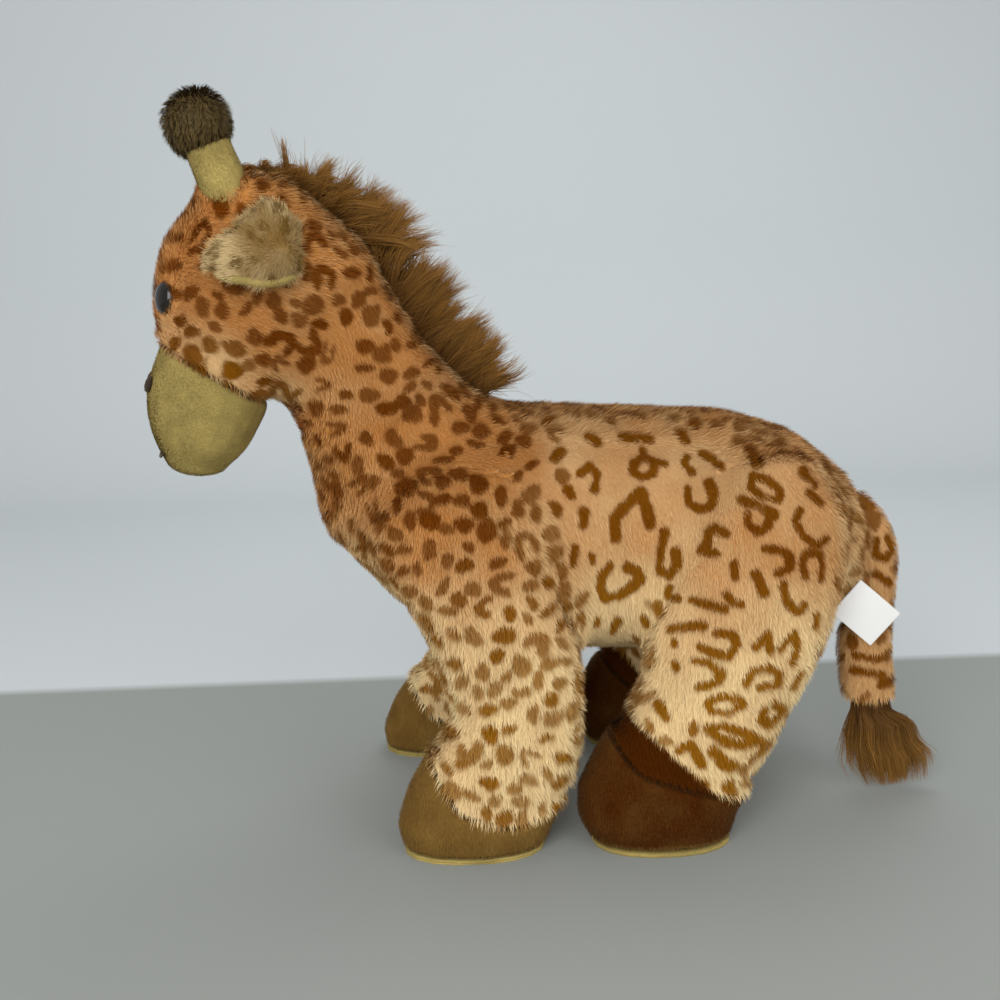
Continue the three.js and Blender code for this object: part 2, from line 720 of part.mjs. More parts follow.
// Mane: a strip of long hair down the nape, in a part on the head and a part on the neck.
// Rows are [base x, base z, lean x, lean z]: the base from the pivot as shares of the neck's
// depth and rise, the hair's tip from the base as shares of the mane's height.
const maneShares = [
  [-0.47, 1.22, 0.2, 0.28],
  [-0.3, 1.15, 0.45, 0.42],
  [-0.08, 1, 0.7, 0.58],
  [0.12, 0.78, 0.9, 0.62],
  [0.26, 0.5, 0.92, 0.52],
  [0.4, 0.18, 0.98, 0.54],
  [0.56, -0.08, 1, 0.52],
  [0.74, -0.3, 0.8, 0.42],
  [0.88, -0.4, 0.35, 0.25],
];
const maneEndShare = 0.25; // of the mane's thickness
const mane = new SoftForm(
  maneShares.map(([baseX, baseZ, leanX, leanZ]) => {
    const base = [baseX * neckDepth, baseZ * neckRise];
    const tip = [base[0] + leanX * maneHeight, base[1] + leanZ * maneHeight];
    return { front: base, back: tip, y: 0, half: maneThickness / 2 };
  }),
  {
    startCap: maneEndShare * maneThickness,
    endCap: maneEndShare * maneThickness,
    steps: 1,
    around: 12,
    squareness: 2,
  },
);
const maneHead = mane
  .solid()
  .intersect(headFromJoint)
  .subtract(head.solid(gap))
  .subtract(neck.solid(gap));
addPiece(headGroup, 'mane_head', maneHead, longHair);
const maneNeck = placed(mane.solid(), neckAt)
  .subtract(headSide)
  .subtract(placed(neck.solid(gap), neckAt))
  .subtract(torso.solid(gap))
  .subtract(placed(pivotBore, headPlace));
addPiece(giraffe, 'mane_neck', maneNeck, longHair);

// Legs. Rows are [size, height, front, back, middle, width]: the size that the front and back
// are shares of, then the height, the distance from the centre plane and the width as shares.
const foreLegShares = [
  ['thigh', 1, -0.36, 0.43, 0.66, 0.76],
  ['thigh', 0.9, -0.49, 0.51, 0.69, 1],
  ['thigh', 0.79, -0.45, 0.56, 0.73, 1.03],
  ['thigh', 0.69, -0.32, 0.57, 0.785, 1.02],
  ['shank', 0.57, -0.25, 0.75, 0.835, 1.03],
  ['shank', 0.47, -0.17, 0.79, 0.875, 1],
  ['shank', 0.37, -0.1, 0.79, 0.91, 1],
  ['hoof', 0.28, -0.24, 0.73, 0.95, 0.99],
  ['hoof', 0.18, -0.38, 0.66, 0.98, 1],
  ['hoof', 0.08, -0.46, 0.54, 1, 1.03],
  ['hoof', -0.02, -0.42, 0.45, 1, 0.92],
];
const hindLegShares = [
  ['thigh', 1, -0.2, 0.42, 0.66, 0.76],
  ['thigh', 0.9, -0.37, 0.54, 0.69, 1],
  ['thigh', 0.79, -0.44, 0.555, 0.73, 1.03],
  ['thigh', 0.69, -0.48, 0.52, 0.785, 1.02],
  ['shank', 0.57, -0.54, 0.47, 0.835, 1.03],
  ['shank', 0.45, -0.58, 0.36, 0.875, 1],
  ['shank', 0.36, -0.68, 0.25, 0.91, 1],
  ['hoof', 0.27, -0.92, 0.17, 0.95, 1],
  ['hoof', 0.16, -1.05, 0.02, 0.98, 1.03],
  ['hoof', 0.08, -1.06, -0.08, 1, 1.03],
  ['hoof', -0.02, -0.94, -0.14, 1, 0.9],
];

// The fur's lower edge round the hoof, toe to heel: shares of the hoof's length and cuff height.
const foreCuffShares = [[-0.6, 1.05], [-0.26, 1], [-0.05, 0.5], [0.25, 0.34], [0.7, 0.5]];
const hindCuffShares = [[-1.2, 1.35], [-0.95, 1.28], [-0.68, 0.8], [-0.3, 0.6], [0.3, 0.34]];

const thighCapShare = 0.06; // of the leg's height

function buildLeg(name, side, spec) {
  const lean = side > 0 ? spec.lean : 0;
  const form = new SoftForm(
    spec.shares.map(([size, height, front, back, middle, width]) => {
      const z = height * legTop;
      const x = spec.x + lean * (1 - height);
      return {
        front: [x + front * spec[size], z],
        back: [x + back * spec[size], z],
        y: (side * middle * stance) / 2,
        half: (width * legWidth) / 2,
      };
    }),
    { startCap: thighCapShare * legTop, endCap: soleThickness, steps: 1, around: 18, squareness: 2.3 },
  );
  const legPivot = new THREE.Vector3(spec.x, 0, spec.pivotZ);
  const flank = swept(torso.solid(swingGap), legPivot, alongY, -spec.forth, -spec.back);
  const neckBlock = placed(neck.solid(swingGap), neckAt);
  const neckSide = swept(neckBlock, legPivot, alongY, -spec.forth, -spec.back);
  const whole = form.solid();
  const cuffLine = spec.cuff.map(([x, z]) => [spec.x + lean + x * spec.hoof, z * cuffHeight]);
  const below = (drop) => {
    const line = cuffLine.map(([x, z]) => [x, z - drop]);
    const [toeX, toeZ] = line[0];
    const [heelX, heelZ] = line[line.length - 1];
    const ahead = [[toeX - overrun, -overrun], [toeX - overrun, toeZ]];
    const behind = [[heelX + overrun, heelZ], [heelX + overrun, -overrun]];
    return plateXZ([...ahead, ...line, ...behind], 2 * overrun);
  };
  const slab = (low, high) => box(3 * overrun, 3 * overrun, high - low, spec.x, 0, (low + high) / 2);
  const leg = whole.subtract(below(0)).subtract(flank).subtract(neckSide);
  const hoof = whole.intersect(below(gap)).subtract(slab(-overrun, soleThickness + gap));
  const sole = whole.intersect(slab(0, soleThickness));
  addPiece(giraffe, `leg_${name}`, leg, spottedPlush);
  addPiece(giraffe, `hoof_${name}`, hoof, brownVelour);
  addPiece(giraffe, `sole_${name}`, sole, tanVelour);
}

const shoulderShare = 0.52; // of the torso's height, the pivots' height above the belly
const pivotZ = bellyHeight + shoulderShare * bodyHeight;
const fore = {
  shares: foreLegShares, cuff: foreCuffShares, x: 0, pivotZ, lean: farForeLean,
  thigh: foreThighDepth, shank: foreShankDepth, hoof: foreHoofLength,
  back: -legSwingIn, forth: legSwingOut,
};
const hind = {
  shares: hindLegShares, cuff: hindCuffShares, x: legSpacing, pivotZ, lean: farHindLean,
  thigh: hindThighDepth, shank: hindShankDepth, hoof: hindHoofLength,
  back: -legSwingOut, forth: legSwingIn,
};
for (const [name, side] of [['left', -1], ['right', 1]]) {
  buildLeg(`front_${name}`, side, fore);
  buildLeg(`hind_${name}`, side, hind);
}

// Tail: a stuffed tube that hangs from the rump, with a tuft of long hair.
const rumpShare = 0.975; // of the torso's length
const tailRootShare = 0.55; // of the torso's height
const tailBackShare = 0.35; // of the tail's width, behind the rump
const tailX = (rumpShare - chestShare) * bodyLength + tailBackShare * tailWidth;
const tailZ = bellyHeight + tailRootShare * bodyHeight;
// Rows are [down, front, back, thickness, to the left]: down the tail, then shares of its sizes.
const tailShares = [
  [-0.04, -0.3, 0.1, 0.7, 0],
  [0.04, -0.46, 0.36, 0.86, 0],
  [0.22, -0.42, 0.6, 1, 0.15],
  [0.48, -0.5, 0.52, 1, 0.3],
  [0.75, -0.6, 0.46, 1, 0.45],
  [1, -0.52, 0.52, 0.9, 0.6],
];
const tailCapShare = 0.12; // of the tail's width
const hangingRows = (shares, top, length, width, thickness) =>
  shares.map(([down, front, back, thick, left]) => {
    const z = top - down * length;
    return {
      front: [tailX + front * width, z],
      back: [tailX + back * width, z],
      y: -left * tailThickness,
      half: (thick * thickness) / 2,
    };
  });
const tail = new SoftForm(
  hangingRows(tailShares, tailZ, tailLength, tailWidth, tailThickness),
  { startCap: tailCapShare * tailWidth, endCap: gap, around: 14 },
);
const tailPivot = new THREE.Vector3(tailX, 0, tailZ);
const tailSweep = swept(torso.solid(swingGap), tailPivot, alongY, 0, tailLift);
addPiece(giraffe, 'tail', tail.solid().subtract(tailSweep), spottedPlush);

const tuftShares = [
  [0, -0.32, 0.34, 0.8, 0.6],
  [0.35, -0.33, 0.54, 1, 0.66],
  [0.7, -0.33, 0.64, 0.9, 0.74],
  [0.94, -0.27, 0.66, 0.5, 0.8],
];
const tuftTop = tailZ - tailLength - 2 * gap;
const tuftTipShare = 0.05; // of the tuft's length
const tuft = new SoftForm(
  hangingRows(tuftShares, tuftTop, tuftLength, tuftSpread, tuftThickness),
  { startCap: gap / 2, endCap: tuftTipShare * tuftLength, steps: 1, around: 14, squareness: 2 },
);
addPiece(giraffe, 'tail_tuft', tuft.solid(), longHair);

// Label: a folded satin strip, bare, sewn in beside the tail. Its upper left end lies in the seam.
const labelAlongShare = 0.9857; // of the way along the torso
const labelAngle = 236; // degrees round the torso, low on its left side
const labelSeam = torso.point(torso.at(labelAlongShare), labelAngle, gap + labelThickness);
const labelPlate = new THREE.BoxGeometry(labelLength, labelThickness, labelWidth);
labelPlate.translate(labelLength / 2 - labelThickness, 0, 0);
const labelAt = new THREE.Matrix4().makeRotationY(rad(-labelTurn));
labelAt.setPosition(labelSeam);
addPiece(giraffe, 'label', solidOfGeometry(labelPlate, labelAt).subtract(torso.solid(gap)), satin);

// The origin is the middle of the giraffe's box, on the floor.
const bounds = new THREE.Box3().setFromObject(giraffe, true);
const middle = bounds.getCenter(new THREE.Vector3());
giraffe.position.set(-middle.x, -middle.y, -bounds.min.z);
giraffe.updateMatrixWorld(true);

export default giraffe;
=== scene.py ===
import contextlib
import itertools
import json
import math

import bmesh
import bpy
import numpy as np
from mathutils import Matrix, Vector
from mathutils.bvhtree import BVHTree


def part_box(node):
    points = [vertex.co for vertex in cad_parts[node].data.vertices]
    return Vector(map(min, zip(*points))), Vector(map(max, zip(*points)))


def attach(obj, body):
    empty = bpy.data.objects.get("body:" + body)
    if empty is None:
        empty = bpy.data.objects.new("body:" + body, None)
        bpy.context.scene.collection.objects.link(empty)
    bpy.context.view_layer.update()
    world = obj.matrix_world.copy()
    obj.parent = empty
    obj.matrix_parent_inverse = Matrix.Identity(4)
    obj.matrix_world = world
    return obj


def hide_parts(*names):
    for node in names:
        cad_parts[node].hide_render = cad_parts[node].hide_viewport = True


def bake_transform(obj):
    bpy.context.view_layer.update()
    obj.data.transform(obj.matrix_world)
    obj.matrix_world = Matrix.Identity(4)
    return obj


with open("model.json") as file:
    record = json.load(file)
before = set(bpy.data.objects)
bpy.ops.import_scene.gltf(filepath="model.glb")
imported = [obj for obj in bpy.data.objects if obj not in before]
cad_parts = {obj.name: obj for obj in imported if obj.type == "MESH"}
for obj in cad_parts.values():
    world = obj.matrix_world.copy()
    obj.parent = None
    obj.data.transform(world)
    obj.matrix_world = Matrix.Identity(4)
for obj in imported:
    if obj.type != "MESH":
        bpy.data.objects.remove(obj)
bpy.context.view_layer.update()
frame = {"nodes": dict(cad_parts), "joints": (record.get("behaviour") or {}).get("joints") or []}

MM = 0.001
UP = np.array([0.0, 0.0, 1.0])
MIRROR = np.array([1.0, -1.0, 1.0])

# The camera, worked out from the photograph's upright edges, and its lens.
CAMERA_PLACE = (-0.034473, -0.812, 0.3862)
CAMERA_PITCH = 10.632
CAMERA_ROLL = 2.21
PHOTO_SIDE = 1000
FOCAL_PIXELS = 1083
SENSOR = 36

# Sizes of the making, in metres, and rounds of smoothing. Skins are first made of small cubes.
WELD = 0.01 * MM
BODY_VOXEL = 4 * MM
LIMB_VOXEL = 3 * MM
OVERLAP = 0.6 * MM
FUR_DEPTH = 5 * MM
SEAM_SINK = 3 * MM
SEAM_REACH = 17 * MM
SMOOTH_ROUNDS = 8
EVEN_ROUNDS = 60

# The eye's dome: how far it is sunk and bulges, how deep its back is beside that, and its parts.
EYE_SINK = 6.6 * MM
EYE_BULGE = 6.5 * MM
EYE_BACK = 0.6
EYE_RINGS, EYE_SPOKES = 20, 48

# The floor is grey up to the first of these places behind the giraffe, and light from the second on. The
# grey is painted shade: the near floor darker, as if less light fell on it.
FLOOR_EDGE = (0.255, 0.275)

# The chocolate plush of the hind feet reaches up in front, to this height at this place, lower behind.
BOOT_TOP = 0.112
BOOT_FRONT = 0.035
BOOT_SLOPE = 0.9

# The ear's fur fans out from here: out, up and back from the ear's pivot.
EAR_ROOT = (6 * MM, -30 * MM, -2 * MM)

# How many marks an ear has, and how thick its rolled edge and the mane's backing are.
EAR_MARKS = 32
ROLL_RADIUS = 3 * MM
BACKING_RADIUS = 6.5 * MM

# Strands and locks of long hair, and the strand's width at each stop on its way to the tip.
MANE_STRANDS, MANE_LOCKS, MANE_HALF = 26000, 170, 9 * MM
MANE_TAPER = (1.0, 1.0, 1.0, 0.95, 0.85, 0.7, 0.5, 0.0)
TUFT_STRANDS, TUFT_LOCKS, TUFT_FLING = 7000, 70, 0.45
TUFT_TAPER = (1.0, 1.0, 1.0, 0.95, 0.9, 0.75, 0.5, 0.0)

# How close spots lie, how many places are tried, and how uneven and how large the drawn marks are.
SPOT_PACKING = 0.74
SPOT_TRIES = 20000
MARK_EDGE = 0.35
MARK_GROWTH = 1.04

# The label's ribbon, with half the gap between its layers and how far it bows.
RIBBON_WIDTH = 32 * MM
RIBBON_THICKNESS = 0.25 * MM
RIBBON_FOLD = 0.7 * MM
RIBBON_BOW = 1.2 * MM

FUR_SPACING = 1.05 * MM
FUR_WIDTH = 0.5 * MM
MOST_BLADES = 65000

# Where a blade lies in its own cell of the texture: its sides, its root and length, and its tip.
CELL_SIDES = (0.08, 0.92)
CELL_ROOT, CELL_LENGTH = 0.05, 0.85
CELL_TIP = (0.5, 0.95)

# Where the neck's plush bends: from the withers to behind the jaw.
BEND_START = (-0.115, 0, 0.325)
BEND_END = (-0.18, 0, 0.3575)

HEAD_TURN = math.radians(13.8)
HEAD_BACK = np.array([math.cos(HEAD_TURN), math.sin(HEAD_TURN), 0.0])

# The lamps: name, place, what it points at, its side in metres, and watts.
LAMPS = (
    ("key_lamp", (-0.7, -2.0, 1.1), (0, 0, 0.25), 1.4, 32),
    ("fill_lamp", (1.3, -1.6, 0.7), (0, 0, 0.25), 1.4, 12),
    ("back_lamp", (0.3, 0.9, 1.8), (0, 0, 0.3), 1.0, 6),
)
WORLD_STRENGTH = 0.46

# The floor's width, its near and far ends, and the bend and height of the wall behind it, in metres.
STAGE_WIDTH, STAGE_NEAR, STAGE_FAR, STAGE_BEND, STAGE_HEIGHT = 6.0, -2.2, 1.3, 0.5, 3.0
STAGE_STEPS = 12

# Factors that mix whole numbers well for a random-looking number.
CELL_FACTORS = (73856093, 19349663, 83492791)
SEED_FACTOR = 2654435761
MIX_FACTOR = 73244475
LOW_BITS = 0xFFFFFFFF


# Colours


def colour(red, green, blue):
    """A colour written as it looks, 0 to 255, as the shader's linear numbers."""
    def linear(value):
        value /= 255
        return value / 12.92 if value <= 0.04045 else ((value + 0.055) / 1.055) ** 2.4

    return (linear(red), linear(green), linear(blue), 1.0)


PEACH = colour(200, 134, 68)
PALE = colour(255, 228, 172)
TIP = colour(250, 216, 160)
SPOT = colour(116, 56, 4)
PALE_SPOT = colour(164, 108, 18)
CREAM = colour(214, 188, 138)
EAR = colour(136, 102, 50)
EAR_SPOT = colour(104, 74, 20)
TAN = colour(166, 147, 86)
DARK_HOOF = colour(72, 32, 4)
PALE_HOOF = colour(140, 108, 54)
KNOB_ROOT = colour(60, 46, 20)
KNOB_TIP = colour(128, 106, 64)
HAIR_ROOT = colour(68, 38, 5)
HAIR_TIP = colour(158, 112, 50)
EYE_BLACK = colour(14, 10, 8)
EYE_BROWN = colour(26, 18, 12)
THREAD = colour(40, 26, 18)
SATIN = colour(240, 240, 238)
WASHER = colour(232, 232, 228)
WALL = colour(218, 224, 226)
# Painted shade: the grey of the near floor.
SHADED_FLOOR = colour(160, 164, 160)


# Numbers on points


def unit(vectors):
    return vectors / np.maximum(np.linalg.norm(vectors, axis=-1, keepdims=True), 1e-12)


def dots(a, b):
    return (a * b).sum(axis=-1)


def smoothstep(low, high, values):
    t = np.clip((values - low) / (high - low), 0, 1)
    return t * t * (3 - 2 * t)


def lerp(a, b, t):
    t = np.asarray(t)
    if np.ndim(a) > t.ndim:
        t = t[..., None]
    return a + (b - a) * t


def cell_number(cells, seed):
    """An even random number from 0 to 1 for each row of whole numbers, always the same."""
    mask = np.int64(LOW_BITS)
    x, y, z = (cells[..., k] * CELL_FACTORS[k] for k in range(3))
    mixed = (x ^ y ^ z ^ (seed * SEED_FACTOR)) & mask
    for _ in range(2):
        mixed = ((mixed ^ (mixed >> 16)) * MIX_FACTOR) & mask
    return (mixed ^ (mixed >> 16)) / float(mask)


def noise(points, cell, seed):
    """Smooth noise from -1 to 1, with features about as large as cell."""
    grid = points / cell + 1000.5
    base = np.floor(grid).astype(np.int64)
    t = grid - base
    t = t * t * (3 - 2 * t)
    total = np.zeros(len(points))
    for corner in itertools.product((0, 1), repeat=3):
        corner = np.array(corner)
        weight = np.where(corner == 1, t, 1 - t).prod(axis=1)
        total += weight * cell_number(base + corner, seed)
    return 2 * total - 1


def noise_vectors(points, cell, seed):
    return np.stack([noise(points, cell, seed + k) for k in range(3)], axis=1)


# Meshes as arrays


def read_rows(items, field, width, kind):
    numbers = np.zeros(len(items) * width, kind)
    items.foreach_get(field, numbers)
    return numbers.reshape(-1, width)


def read_points(mesh):
    return read_rows(mesh.vertices, "co", 3, float)


def read_triangles(mesh):
    mesh.calc_loop_triangles()
    return read_rows(mesh.loop_triangles, "vertices", 3, np.int32)


def read_edges(mesh):
    return read_rows(mesh.edges, "vertices", 2, np.int32)


def node_points(*nodes):
    return np.concatenate([read_points(frame["nodes"][node].data) for node in nodes])


def normals_of(points, triangles):
    a, b, c = (points[triangles[:, k]] for k in range(3))
    faces = np.cross(b - a, c - a)
    total = np.zeros_like(points)
    for k in range(3):
        np.add.at(total, triangles[:, k], faces)
    return unit(total)


def place_object(name, data):
    holder = bpy.data.objects.new(name, data)
    bpy.context.scene.collection.objects.link(holder)
    return holder


def mesh_from(name, points, faces):
    mesh = bpy.data.meshes.new(name)
    mesh.from_pydata([tuple(point) for point in points], [], faces)
    return mesh


def link(name, mesh, material):
    piece = place_object(name, mesh)
    mesh.materials.clear()
    mesh.materials.append(material)
    return piece


@contextlib.contextmanager
def opened(mesh):
    """The mesh open for editing, and written back at the end."""
    work = bmesh.new()
    work.from_mesh(mesh)
    yield work
    work.to_mesh(mesh)
    work.free()


def turn_outward(mesh):
    with opened(mesh) as work:
        bmesh.ops.recalc_face_normals(work, faces=work.faces)


def grid_faces(rows, columns, closed=False, first=0):
    """Faces with four corners between rows of points. Closed rows go round from end to start."""
    faces = []
    for row in range(rows - 1):
        for column in range(columns if closed else columns - 1):
            a = first + row * columns + column
            b = first + row * columns + (column + 1) % columns
            faces.append((a, b, b + columns, a + columns))
    return faces


def fan_faces(middle, first, count, turned=False):
    """Faces with three corners between one point and a round row of points."""
    faces = [(middle, first + k, first + (k + 1) % count) for k in range(count)]
    return [(a, c, b) for a, b, c in faces] if turned else faces


def changed(mesh, kind, **settings):
    """The mesh as a modifier leaves it, in place of the mesh itself."""
    blank = place_object("blank", mesh)
    modifier = blank.modifiers.new("change", kind)
    for name, value in settings.items():
        setattr(modifier, name, value)
    graph = bpy.context.evaluated_depsgraph_get()
    result = bpy.data.meshes.new_from_object(blank.evaluated_get(graph))
    bpy.data.objects.remove(blank)
    bpy.data.meshes.remove(mesh)
    return result


def subdivided(mesh, levels):
    return changed(mesh, "SUBSURF", levels=levels, render_levels=levels)


def joined_nodes(nodes, grow=0.0):
    """One mesh of several of the frame's nodes, each grown a little along its normals."""
    whole = bmesh.new()
    for node in nodes:
        whole.from_mesh(frame["nodes"][node].data)
    bmesh.ops.remove_doubles(whole, verts=whole.verts, dist=WELD)
    whole.normal_update()
    for vertex in whole.verts:
        vertex.co += vertex.normal * grow
    mesh = bpy.data.meshes.new("blank")
    whole.to_mesh(mesh)
    whole.free()
    return mesh


def voxel_mesh(nodes, voxel):
    """The outside of several nodes together, as one mesh of even squares."""
    mesh = changed(joined_nodes(nodes, OVERLAP), "REMESH", mode="VOXEL", voxel_size=voxel)
    keep_largest(mesh)
    return mesh


def keep_largest(mesh):
    """Drops every island of the mesh but the one with the most points."""
    with opened(mesh) as work:
        seen = set()
        islands = []
        for start in work.verts:
            if start in seen:
                continue
            seen.add(start)
            island = [start]
            for vertex in island:
                for edge in vertex.link_edges:
                    other = edge.other_vert(vertex)
                    if other not in seen:
                        seen.add(other)
                        island.append(other)
            islands.append(island)
        islands.sort(key=len)
        for island in islands[:-1]:
            bmesh.ops.delete(work, geom=island, context="VERTS")


def relax(points, edges, rounds, share=0.5):
    """Moves each point towards the mean of its neighbours."""
    count = np.bincount(edges.ravel(), minlength=len(points))[:, None]
    for _ in range(rounds):
        total = np.zeros_like(points)
        np.add.at(total, edges[:, 0], points[edges[:, 1]])
        np.add.at(total, edges[:, 1], points[edges[:, 0]])
        points = points + (total / np.maximum(count, 1) - points) * share
    return points


def smooth_faces(mesh):
    mesh.polygons.foreach_set("use_smooth", np.ones(len(mesh.polygons), bool))


class Near:
    """Finds the nearest place on some of the frame's nodes."""

    def __init__(self, *nodes):
        mesh = joined_nodes(nodes)
        points = [vertex.co.copy() for vertex in mesh.vertices]
        faces = [tuple(polygon.vertices) for polygon in mesh.polygons]
        self.tree = BVHTree.FromPolygons(points, faces)
        bpy.data.meshes.remove(mesh)

    def find(self, points):
        """Nearest places, distances, and whether each point lies inside."""
        places = np.zeros((len(points), 3))
        outward = np.zeros((len(points), 3))
        for k, point in enumerate(points):
            place, normal, _, _ = self.tree.find_nearest(Vector(point))
            places[k] = place
            outward[k] = normal
        away = points - places
        return places, np.linalg.norm(away, axis=1), dots(unit(away), outward) < -0.95

    def distance(self, points):
        return self.find(points)[1]

    def facing(self, points, normals):
        """How far each point's normal looks against the node's surface there, from -1 to 1."""
        found = (self.tree.find_nearest(Vector(point))[1] for point in points)
        return -dots(normals, np.array([tuple(normal) for normal in found]))

    def covers(self, points, normals, reach):
        """Whether each point faces the node from within reach, or lies in it."""
        places, distance, inside = self.find(points)
        facing = dots(unit(places - points), normals) > 0.5
        return inside | (facing & (distance < reach))


class Skin:
    """A skin's mesh with its points, triangles and normals, and fields of numbers on its points."""

    def __init__(self, mesh):
        self.mesh = mesh
        self.points = read_points(mesh)
        self.triangles = read_triangles(mesh)
        self.normals = normals_of(self.points, self.triangles)
        self.fields = {}

    def set(self, **fields):
        for name, values in fields.items():
            self.fields[name] = np.asarray(values, float)

    def tree(self):
        return BVHTree.FromPolygons([Vector(p) for p in self.points], self.triangles.tolist())

    def colour_points(self, spots):
        """Writes what the plush material reads on the skin itself."""
        count = len(self.points)
        values = np.zeros((count, 4))
        values[:, 0] = np.maximum(spots, self.fields.get("boot", 0.0))
        values[:, 1] = self.fields["pale"]
        values[:, 2] = 0.5
        # Painted shade: the skin under the fur takes the darker colour of the blades' roots.
        values[:, 3] = 0.3
        write_fur_attribute(self.mesh, values, self.fields["dusk"])


def write_fur_attribute(mesh, values, dusk):
    """Spot, paleness, chance and place along the blade; and how dark the fur is painted, for painted shade
    and for the boot's own brown.
    """
    attribute = mesh.attributes.get("fur") or mesh.attributes.new("fur", "FLOAT_COLOR", "POINT")
    attribute.data.foreach_set("color", values.astype(np.float32).ravel())
    attribute = mesh.attributes.get("dusk") or mesh.attributes.new("dusk", "FLOAT", "POINT")
    attribute.data.foreach_set("value", np.asarray(dusk, np.float32))


def cut_and_cap(mesh, points, dropped):
    """Drops some points of a closed mesh and closes the holes again."""
    mesh.vertices.foreach_set("co", points.ravel())
    with opened(mesh) as work:
        work.verts.ensure_lookup_table()
        bmesh.ops.delete(work, geom=[work.verts[k] for k in np.flatnonzero(dropped)], context="VERTS")
        loose = [vertex for vertex in work.verts if not vertex.link_faces]
        bmesh.ops.delete(work, geom=loose, context="VERTS")
        rim = [edge for edge in work.edges if edge.is_boundary]
        caps = bmesh.ops.holes_fill(work, edges=rim, sides=0)
        bmesh.ops.triangulate(work, faces=caps["faces"])
        bmesh.ops.recalc_face_normals(work, faces=work.faces)
    mesh.update()


def make_skin(nodes, voxel, rounds, depth, levels=1, even=None, drop=None):
    """A smooth skin of some nodes that lies inside them, by depth or by depth(points, normals). Where
    even(points) is 1 it is smoothed further and creases are filled. What drop(points) picks is cut off."""
    mesh = voxel_mesh(nodes, voxel)
    points = relax(read_points(mesh), read_edges(mesh), rounds)
    normals = normals_of(points, read_triangles(mesh))
    if even:
        soft = relax(points, read_edges(mesh), EVEN_ROUNDS)
        filled = points + normals * np.maximum(dots(soft - points, normals), 0)[:, None]
        points = lerp(filled, soft + normals * 1 * MM, even(points)[:, None])
        normals = normals_of(points, read_triangles(mesh))
    if drop:
        cut_and_cap(mesh, points, drop(points))
        keep_largest(mesh)
        points = read_points(mesh)
        normals = normals_of(points, read_triangles(mesh))
    sunk = depth(points, normals) if callable(depth) else np.full(len(points), depth)
    points -= normals * sunk.reshape(-1, 1)
    mesh.vertices.foreach_set("co", points.ravel())
    mesh.update()
    mesh = subdivided(mesh, levels) if levels else mesh
    smooth_faces(mesh)
    return Skin(mesh)


# Materials


class Shader:
    """Builds a material's nodes."""

    def __init__(self, name):
        self.material = bpy.data.materials.new(name)
        self.material.use_nodes = True
        self.nodes = self.material.node_tree.nodes
        self.links = self.material.node_tree.links
        self.surface = self.nodes["Principled BSDF"]

    def add(self, kind, **settings):
        node = self.nodes.new(kind)
        for name, value in settings.items():
            setattr(node, name, value)
        return node

    def feed(self, node, socket, value):
        if isinstance(value, bpy.types.NodeSocket):
            self.links.new(value, node.inputs[socket])
        else:
            node.inputs[socket].default_value = value

    def maths(self, operation, *values):
        node = self.add("ShaderNodeMath", operation=operation)
        for k, value in enumerate(values):
            self.feed(node, k, value)
        return node.outputs[0]

    def mix(self, share, a, b):
        node = self.add("ShaderNodeMix", data_type="RGBA")
        self.feed(node, 0, share)
        self.feed(node, 6, a)
        self.feed(node, 7, b)
        return node.outputs[2]

    def scaled(self, tint, factor):
        node = self.add("ShaderNodeVectorMath", operation="SCALE")
        self.feed(node, 0, tint[:3] if isinstance(tint, tuple) else tint)
        self.feed(node, "Scale", factor)
        return node.outputs[0]

    def ranged(self, value, low, high, to_low, to_high):
        node = self.add("ShaderNodeMapRange")
        for socket, number in enumerate((value, low, high, to_low, to_high)):
            self.feed(node, socket, number)
        return node.outputs[0]

    def fur(self):
        """What the fur carries: spot, paleness, chance, and the place along the blade."""
        fur = self.add("ShaderNodeAttribute", attribute_name="fur")
        parts = self.add("ShaderNodeSeparateColor")
        self.feed(parts, 0, fur.outputs["Color"])
        return (*parts.outputs, fur.outputs["Alpha"])

    def product(self, *values):
        result = values[0]
        for value in values[1:]:
            result = self.maths("MULTIPLY", result, value)
        return result

    def place(self):
        return self.add("ShaderNodeTexCoord").outputs["Object"]

    def pattern(self, kind, settings, **sockets):
        node = self.add(kind, **settings)
        self.feed(node, "Vector", self.place())
        for socket, value in sockets.items():
            self.feed(node, socket, value)
        return node.outputs["Fac"]

    def noise(self, scale, detail=3.0):
        return self.pattern("ShaderNodeTexNoise", {}, Scale=scale, Detail=detail, Roughness=0.55)

    def bump(self, height, distance, strength=1.0):
        node = self.add("ShaderNodeBump")
        self.feed(node, "Height", height)
        self.feed(node, "Distance", distance)
        self.feed(node, "Strength", strength)
        self.feed(self.surface, "Normal", node.outputs[0])

    def finish(self, base, roughness, sheen=0.0, sheen_tint=(1, 1, 1, 1), specular=0.5):
        self.feed(self.surface, "Base Color", base)
        self.feed(self.surface, "Roughness", roughness)
        self.feed(self.surface, "Specular IOR Level", specular)
        self.feed(self.surface, "Sheen Weight", sheen)
        self.feed(self.surface, "Sheen Roughness", 0.5)
        self.feed(self.surface, "Sheen Tint", sheen_tint)
        return self.material


